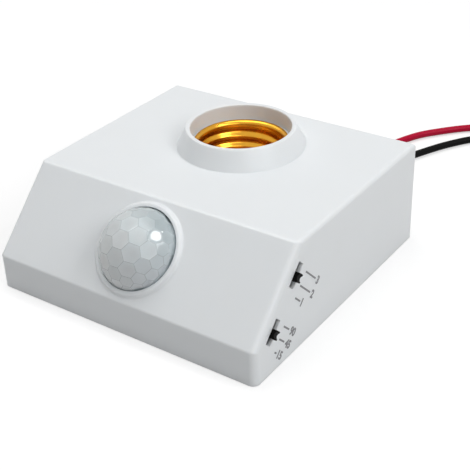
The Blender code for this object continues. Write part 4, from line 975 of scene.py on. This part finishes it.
def lens_cells():
    """The lens: flat cells with fine seams between them, on a neck with a flange."""
    flange_top = -WALL - GAP
    flange_bottom = flange_top - LENS_FLANGE
    centre = DOME_FOOT - math.sqrt(DOME_RADIUS**2 - LENS_RADIUS**2)
    bm = cut_dome(centre, flange_bottom)
    dress_cells(bm)
    dome = mesh_object("lens_cells", bm)
    flange = cylinder(
        "lens_flange", LENS_FLANGE_RADIUS, flange_bottom, flange_top, sides=ROUND_SIDES
    )
    inner = DOME_RADIUS - LENS_WALL
    neck = LENS_RADIUS - LENS_WALL
    end = math.degrees(math.acos(neck / inner))
    hollow = [
        (0, centre + inner),
        *arc((0, centre), inner, 90, end, 16)[1:],
        (neck, flange_bottom - WALL),
        (0, flange_bottom - WALL),
    ]
    work(dome, [("UNION", flange), ("DIFFERENCE", turned("lens_hollow", hollow))])
    dome.data.transform(LENS)
    piece(dome, "lens", ["lens_dome"], angle=12)


def switch_can(name, axis):
    """A slide switch's metal frame, open at the back and windowed for its knob."""
    half, high, sheet = SWITCH_LENGTH / 2, SWITCH_HEIGHT / 2, SWITCH_SHEET
    right = SWITCH_RIGHT_X
    left = right - SWITCH_WIDTH
    can = box(f"{name}_switch_can", (left, -half, -high), (right, half, high), axis, sheet / 2)
    inside = box(
        "inside", (left - SWITCH_WIDTH, sheet - half, sheet - high),
        (right - sheet, half - sheet, high - sheet), axis,
    )
    window_half = KNOB_LENGTH / 2 + KNOB_TRAVEL + GAP
    window_high = KNOB_THICKNESS / 2 + GAP
    window = box(
        "window", (right - 2 * sheet, -window_half, -window_high),
        (right + sheet, window_half, window_high), axis,
    )
    work(can, [("DIFFERENCE", inside), ("DIFFERENCE", window)])
    piece(can, "steel", [f"{name}_switch_frame"])


def slider_knob(name, axis):
    """A knob: a slider behind the frame's face and a stem with a saddle for the nail."""
    inside = SWITCH_RIGHT_X - SWITCH_SHEET - GAP
    end = SIDE_X + KNOB_REACH
    low = (inside - SLIDER_WIDTH, -SLIDER_LENGTH / 2, -SLIDER_THICKNESS / 2)
    high = (inside, SLIDER_LENGTH / 2, SLIDER_THICKNESS / 2)
    knob = box(f"{name}_slider_knob", low, high, axis, SLIDER_ROUNDING)
    half, thick = KNOB_LENGTH / 2, KNOB_THICKNESS / 2
    low = (inside - SLIDER_WIDTH / 2, -half, -thick)
    high = (end, half, thick)
    stem = box("stem", low, high, axis, KNOB_ROUNDING, KNOB_ROUNDING_STEPS)
    radius = (half**2 / 2 + KNOB_SADDLE**2) / (2 * KNOB_SADDLE)
    place = axis @ Matrix.Translation((end + radius - KNOB_SADDLE, 0, 0))
    saddle = cylinder("saddle", radius, -KNOB_THICKNESS, KNOB_THICKNESS, place, SADDLE_SIDES)
    work(knob, [("UNION", stem), ("DIFFERENCE", saddle)])
    piece(knob, "black_plastic", [f"{name}_knob"], f"{name}_slider")


def switches():
    for name, along in SWITCHES:
        axis = SLOPE @ Matrix.Translation((0, along + KNOB_SHIFT, -SLOT_DEPTH))
        switch_can(name, axis)
        slider_knob(name, axis)


def mark(name, text, along, behind, line):
    """A printed line and number on the right side, square to the slope.

    The number is made at a size of 1 and scaled down, because small text is filled badly. A
    bolder offset than MARK_BOLD leaves a gap in the 9.
    """
    data = bpy.data.curves.new(name, "FONT")
    data.body = text
    data.offset = MARK_BOLD
    data.extrude = MARK_RISE / MARK_SIZE / 2
    data.resolution_u = MARK_CURVE_STEPS
    source = bpy.data.objects.new(name, data)
    bpy.context.scene.collection.objects.link(source)
    graph = bpy.context.evaluated_depsgraph_get()
    digits = bpy.data.meshes.new_from_object(source.evaluated_get(graph))
    bpy.data.objects.remove(source, do_unlink=True)
    digits.transform(Matrix.Scale(MARK_SIZE, 4))
    low_y = min(v.co.y for v in digits.vertices)
    high_y = max(v.co.y for v in digits.vertices)
    low_x = min(v.co.x for v in digits.vertices)
    digits.transform(Matrix.Translation((line + MARK_GAP - low_x, -(low_y + high_y) / 2, 0)))
    bm = bmesh.new()
    bm.from_mesh(digits)
    bar = bmesh.ops.create_cube(bm, size=1.0)["verts"]
    bmesh.ops.scale(bm, vec=(line, MARK_LINE, MARK_RISE), verts=bar)
    bmesh.ops.translate(bm, vec=(line / 2, 0, 0), verts=bar)
    sine, cosine = math.sin(SLOPE_ANGLE), math.cos(SLOPE_ANGLE)
    start = SLOPE @ Vector((SIDE_X + MARK_RISE / 2, along, -behind))
    place = Matrix(
        ((0, 0, 1, start.x), (sine, cosine, 0, start.y), (-cosine, sine, 0, start.z), (0, 0, 0, 1))
    )
    piece(mesh_object(name, bm, place), "white_plastic", material=PRINT)


def marks():
    for name, rows in MARK_ROWS.items():
        for i, row in enumerate(rows, 1):
            mark(f"{name}_mark_{i}", *row)


def keyhole(name, x):
    """A round entry with a slot behind it, for hanging the holder on a screw head."""
    half = KEYHOLE_SLOT / 2
    meet = math.degrees(math.asin(half / KEYHOLE_RADIUS))
    outline = [
        *arc((0, 0), KEYHOLE_RADIUS, 90 + meet, 450 - meet, KEYHOLE_STEPS),
        *arc((0, KEYHOLE_LENGTH), half, 0, 180, KEYHOLE_END_STEPS),
    ]
    place = Matrix.Translation((x, KEYHOLE_Y, 0))
    return loft(name, [(outline, -PLATE), (outline, 2 * PLATE)], place)


def base_moulding():
    """The base plate, with softened edges, its ribs, hooks, screw cups and keyholes."""
    half_x, half_y = SIDE_X - WALL - GAP, BACK_Y - WALL - GAP
    corner, soft = CORNER_RADIUS - WALL, PLATE_ROUNDING
    small = rounded_outline(half_x - soft, half_y - soft, corner - soft)
    full = rounded_outline(half_x, half_y, corner)
    layers = [(small, 0.0), (full, soft), (full, PLATE - soft), (small, PLATE)]
    plate = loft("base_moulding", layers)
    hook_y = FRONT_Y + WALL + LEDGE_REACH + GAP
    nose_z = LEDGE_LOW_Z + LEDGE_THICKNESS + GAP
    steps = []
    for side in (-1, 1):
        x, end = side * PLATE_RIB_X, half_y - PLATE_RIB_INSET
        low, high = (x - PLATE_RIB / 2, -end, PLATE / 2), (x + PLATE_RIB / 2, end, PLATE_RIB_TOP_Z)
        steps.append(("UNION", box("plate_rib", low, high)))
        low = (side * HOOK_X - HOOK_WIDTH / 2, hook_y, PLATE / 2)
        high = (side * HOOK_X + HOOK_WIDTH / 2, hook_y + HOOK_THICKNESS, nose_z + HOOK_THICKNESS)
        steps.append(("UNION", box("hook", low, high)))
        low = (low[0], FRONT_Y + WALL + GAP, nose_z)
        high = (high[0], hook_y + HOOK_THICKNESS / 2, high[2])
        steps.append(("UNION", box("hook_nose", low, high)))
        recess, floor = BASE_SCREW_HEAD_RADIUS + GAP, CUP_TOP_Z - CUP_FLOOR
        place = Matrix.Translation((side * BASE_SCREW_X, BASE_SCREW_Y, 0))
        cup = cylinder("cup", recess + CUP_WALL, PLATE / 2, CUP_TOP_Z, place, CUP_SIDES)
        steps.append(("UNION", cup))
        profile = [
            (0, -PLATE), (recess + soft + PLATE, -PLATE), (recess + soft, 0), (recess, soft),
            (recess, floor), (0, floor),
        ]
        steps.append(("DIFFERENCE", turned("recess", profile, CUP_SIDES, place)))
        radius = BASE_SCREW_RADIUS + GAP
        hole = cylinder("hole", radius, 0.0, 2 * CUP_TOP_Z, place, CUP_HOLE_SIDES)
        steps.append(("DIFFERENCE", hole))
        steps.append(("DIFFERENCE", keyhole("keyhole", side * KEYHOLE_X)))
    work(plate, steps)
    piece(plate, "white_plastic", ["base_plate"])


def smooth_route(points, step):
    """Evenly spaced points on a smooth curve through the given points."""
    knots = [Vector(p) for p in points]
    knots = [2 * knots[0] - knots[1], *knots, 2 * knots[-1] - knots[-2]]
    fine = []
    for before, start, end, after in zip(knots, knots[1:], knots[2:], knots[3:]):
        for i in range(CURVE_STEPS):
            t = i / CURVE_STEPS
            bend = (2 * before - 5 * start + 4 * end - after) * t * t
            twist = (3 * start - before - 3 * end + after) * t**3
            fine.append((2 * start + (end - before) * t + bend + twist) / 2)
    fine.append(knots[-2])
    length = sum((b - a).length for a, b in zip(fine, fine[1:]))
    count = max(2, round(length / step))
    route, travelled, wanted = [fine[0]], 0.0, length / count
    for a, b in zip(fine, fine[1:]):
        stretch = (b - a).length
        while travelled + stretch >= wanted * len(route) and len(route) < count:
            share = (wanted * len(route) - travelled) / stretch
            route.append(a.lerp(b, share))
        travelled += stretch
    route.append(fine[-1])
    return route


def tube(name, points, radius, slot):
    """A round wire along the points, closed at both ends."""
    data = bpy.data.curves.new(name, "CURVE")
    data.dimensions = "3D"
    data.bevel_depth = radius
    data.bevel_resolution = FLEX_ROUNDNESS
    data.use_fill_caps = True
    spline = data.splines.new("POLY")
    spline.points.add(len(points) - 1)
    for target, point in zip(spline.points, points):
        target.co = (*point, 1.0)
    spline.use_smooth = True
    data.materials.append(MATERIALS[slot])
    obj = bpy.data.objects.new(name, data)
    bpy.context.scene.collection.objects.link(obj)
    return obj


def swept(bm, points, radius):
    """A round wire along nearly straight points, with pointed ends, added to a bmesh."""
    ahead = (points[-1] - points[0]).normalized()
    across = ahead.cross(Vector((0, 0, 1))).normalized()
    up = across.cross(ahead)
    rings = []
    angles = turns(STRAND_SIDES)
    for point in points:
        offsets = [(across * math.cos(a) + up * math.sin(a)) * radius for a in angles]
        rings.append([bm.verts.new(point + offset) for offset in offsets])
    for a, b in zip(rings, rings[1:]):
        bridge(bm, a, b)
    reach = ahead * radius / 3
    for ring, end in ((rings[0], points[0] - reach), (rings[-1], points[-1] + reach)):
        pole = bm.verts.new(end)
        for k in range(STRAND_SIDES):
            bm.faces.new((ring[k], ring[(k + 1) % STRAND_SIDES], pole))


def strands(name, route, node):
    """The stripped end of a lead: six strands twisted round a seventh."""
    coarse = smooth_route(route, LEAD_STEP)
    ahead = (coarse[-1] - coarse[-2]).normalized()
    across = ahead.cross(Vector((0, 0, 1))).normalized()
    up = across.cross(ahead)
    trim = STRAND_RADIUS / 3
    start, run = coarse[-1] + ahead * (GAP + trim), TIP_LENGTH - 2 * trim
    bm = bmesh.new()
    core = [start + ahead * run * i / CORE_STEPS for i in range(CORE_STEPS + 1)]
    swept(bm, core, STRAND_RADIUS)
    for k in range(STRANDS):
        points = []
        for i in range(STRAND_STEPS + 1):
            gone = run * i / STRAND_STEPS
            angle = 2 * math.pi * (k / STRANDS + gone / STRAND_TWIST)
            offset = (across * math.cos(angle) + up * math.sin(angle)) * STRAND_CIRCLE
            points.append(start + ahead * gone + offset)
        swept(bm, points, STRAND_RADIUS)
    return piece(mesh_object(name, bm), "tinned_copper", [node])


def lead(colour, route):
    """A free lead in its insulation, from its hole to its stripped end."""
    slot = f"{colour}_insulation"
    flex = tube(f"{colour}_flex", smooth_route(route, FLEX_STEP), LEAD_RADIUS, slot)
    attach(flex, "holder")
    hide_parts(f"{colour}_lead")
    tip = strands(f"{colour}_strands", route, f"{colour}_lead_tip")


def place_camera():
    """A camera at the photograph's own place and angle."""
    back = Vector(
        (
            math.sin(CAMERA_AZIMUTH) * math.cos(CAMERA_ELEVATION),
            -math.cos(CAMERA_AZIMUTH) * math.cos(CAMERA_ELEVATION),
            math.sin(CAMERA_ELEVATION),
        )
    )
    right = (-back).cross(Vector((0, 0, 1))).normalized()
    up = right.cross(-back)
    turned_right = right * math.cos(CAMERA_ROLL) + up * math.sin(CAMERA_ROLL)
    turned_up = up * math.cos(CAMERA_ROLL) - right * math.sin(CAMERA_ROLL)
    data = bpy.data.cameras.new("camera")
    data.lens = CAMERA_LENS
    data.sensor_width = CAMERA_SENSOR
    data.clip_start, data.clip_end = CAMERA_CLIP
    camera = bpy.data.objects.new("camera", data)
    axes = Matrix((turned_right, turned_up, back)).transposed().to_4x4()
    camera.matrix_world = Matrix.Translation(CAMERA_PLACE) @ axes
    bpy.context.scene.collection.objects.link(camera)
    bpy.context.scene.camera = camera


def softbox(name, place, size, power):
    """A square, white light that points at the object."""
    data = bpy.data.lights.new(name, "AREA")
    data.shape = "SQUARE"
    data.size = size
    data.energy = power
    light = bpy.data.objects.new(name, data)
    light.location = place
    light.rotation_mode = "QUATERNION"
    light.rotation_quaternion = (Vector(LIGHT_TARGET) - Vector(place)).to_track_quat("-Z", "Y")
    bpy.context.scene.collection.objects.link(light)


def white_to_the_eye(tree, surface, strength, source="ShaderNodeEmission"):
    """Adds white for camera, mirror and see-through rays only, so it lights nothing.

    The strength is a number or a socket. The world's white comes from a Background node.
    """
    path = tree.nodes.new("ShaderNodeLightPath")
    seen = path.outputs["Is Camera Ray"]
    for ray in ("Is Glossy Ray", "Is Transmission Ray"):
        either = tree.nodes.new("ShaderNodeMath")
        either.operation = "MAXIMUM"
        tree.links.new(seen, either.inputs[0])
        tree.links.new(path.outputs[ray], either.inputs[1])
        seen = either.outputs["Value"]
    glow = tree.nodes.new(source)
    glow.inputs["Color"].default_value = (1, 1, 1, 1)
    if isinstance(strength, float):
        glow.inputs["Strength"].default_value = strength
    else:
        tree.links.new(strength, glow.inputs["Strength"])
    both = tree.nodes.new("ShaderNodeAddShader")
    tree.links.new(surface, both.inputs[0])
    tree.links.new(glow.outputs[0], both.inputs[1])
    choice = tree.nodes.new("ShaderNodeMixShader")
    tree.links.new(seen, choice.inputs["Fac"])
    tree.links.new(surface, choice.inputs[1])
    tree.links.new(both.outputs["Shader"], choice.inputs[2])
    return choice.outputs["Shader"]


def place_floor():
    """A plain pale floor that keeps the object's shadow."""
    mesh = bpy.data.meshes.new("floor")
    half = FLOOR_HALF
    mesh.from_pydata(
        [(-half, -half, 0), (half, -half, 0), (half, half, 0), (-half, half, 0)], [], [(0, 1, 2, 3)]
    )
    floor = bpy.data.objects.new("floor", mesh)
    floor.location.z = -FLOOR_DROP
    bpy.context.scene.collection.objects.link(floor)
    material, tree, shader, place = new_material("floor")
    shader.inputs["Base Color"].default_value = (FLOOR_SHADE, FLOOR_SHADE, FLOOR_SHADE, 1.0)
    shader.inputs["Roughness"].default_value = FLOOR_ROUGHNESS
    away = tree.nodes.new("ShaderNodeVectorMath")
    away.operation = "LENGTH"
    tree.links.new(place, away.inputs[0])
    glow = tree.nodes.new("ShaderNodeMapRange")
    glow.inputs["From Min"].default_value = FLOOR_NEAR
    glow.inputs["From Max"].default_value = FLOOR_FAR
    glow.inputs["To Min"].default_value = FLOOR_GLOW
    glow.inputs["To Max"].default_value = 1.0
    tree.links.new(away.outputs["Value"], glow.inputs["Value"])
    surface = white_to_the_eye(tree, shader.outputs["BSDF"], glow.outputs["Result"])
    tree.links.new(surface, tree.nodes["Material Output"].inputs["Surface"])
    mesh.materials.append(material)


def place_lights():
    """The world's even light and the softboxes."""
    world = bpy.data.worlds.new("world")
    bpy.context.scene.world = world
    world.use_nodes = True
    tree = world.node_tree
    background = tree.nodes["Background"]
    background.inputs["Color"].default_value = (1, 1, 1, 1)
    background.inputs["Strength"].default_value = WORLD_STRENGTH
    surface = white_to_the_eye(
        tree, background.outputs["Background"], 1.0 - WORLD_STRENGTH, "ShaderNodeBackground"
    )
    tree.links.new(surface, tree.nodes["World Output"].inputs["Surface"])
    for light in LIGHTS:
        softbox(*light)


place_camera()
dress_nodes()
lead("red", RED_ROUTE)
lead("black", BLACK_ROUTE)
housing_moulding()
rolled_shell()
lens_cells()
switches()
marks()
base_moulding()
place_floor()
place_lights()
bpy.context.scene.view_settings.view_transform = "Standard"
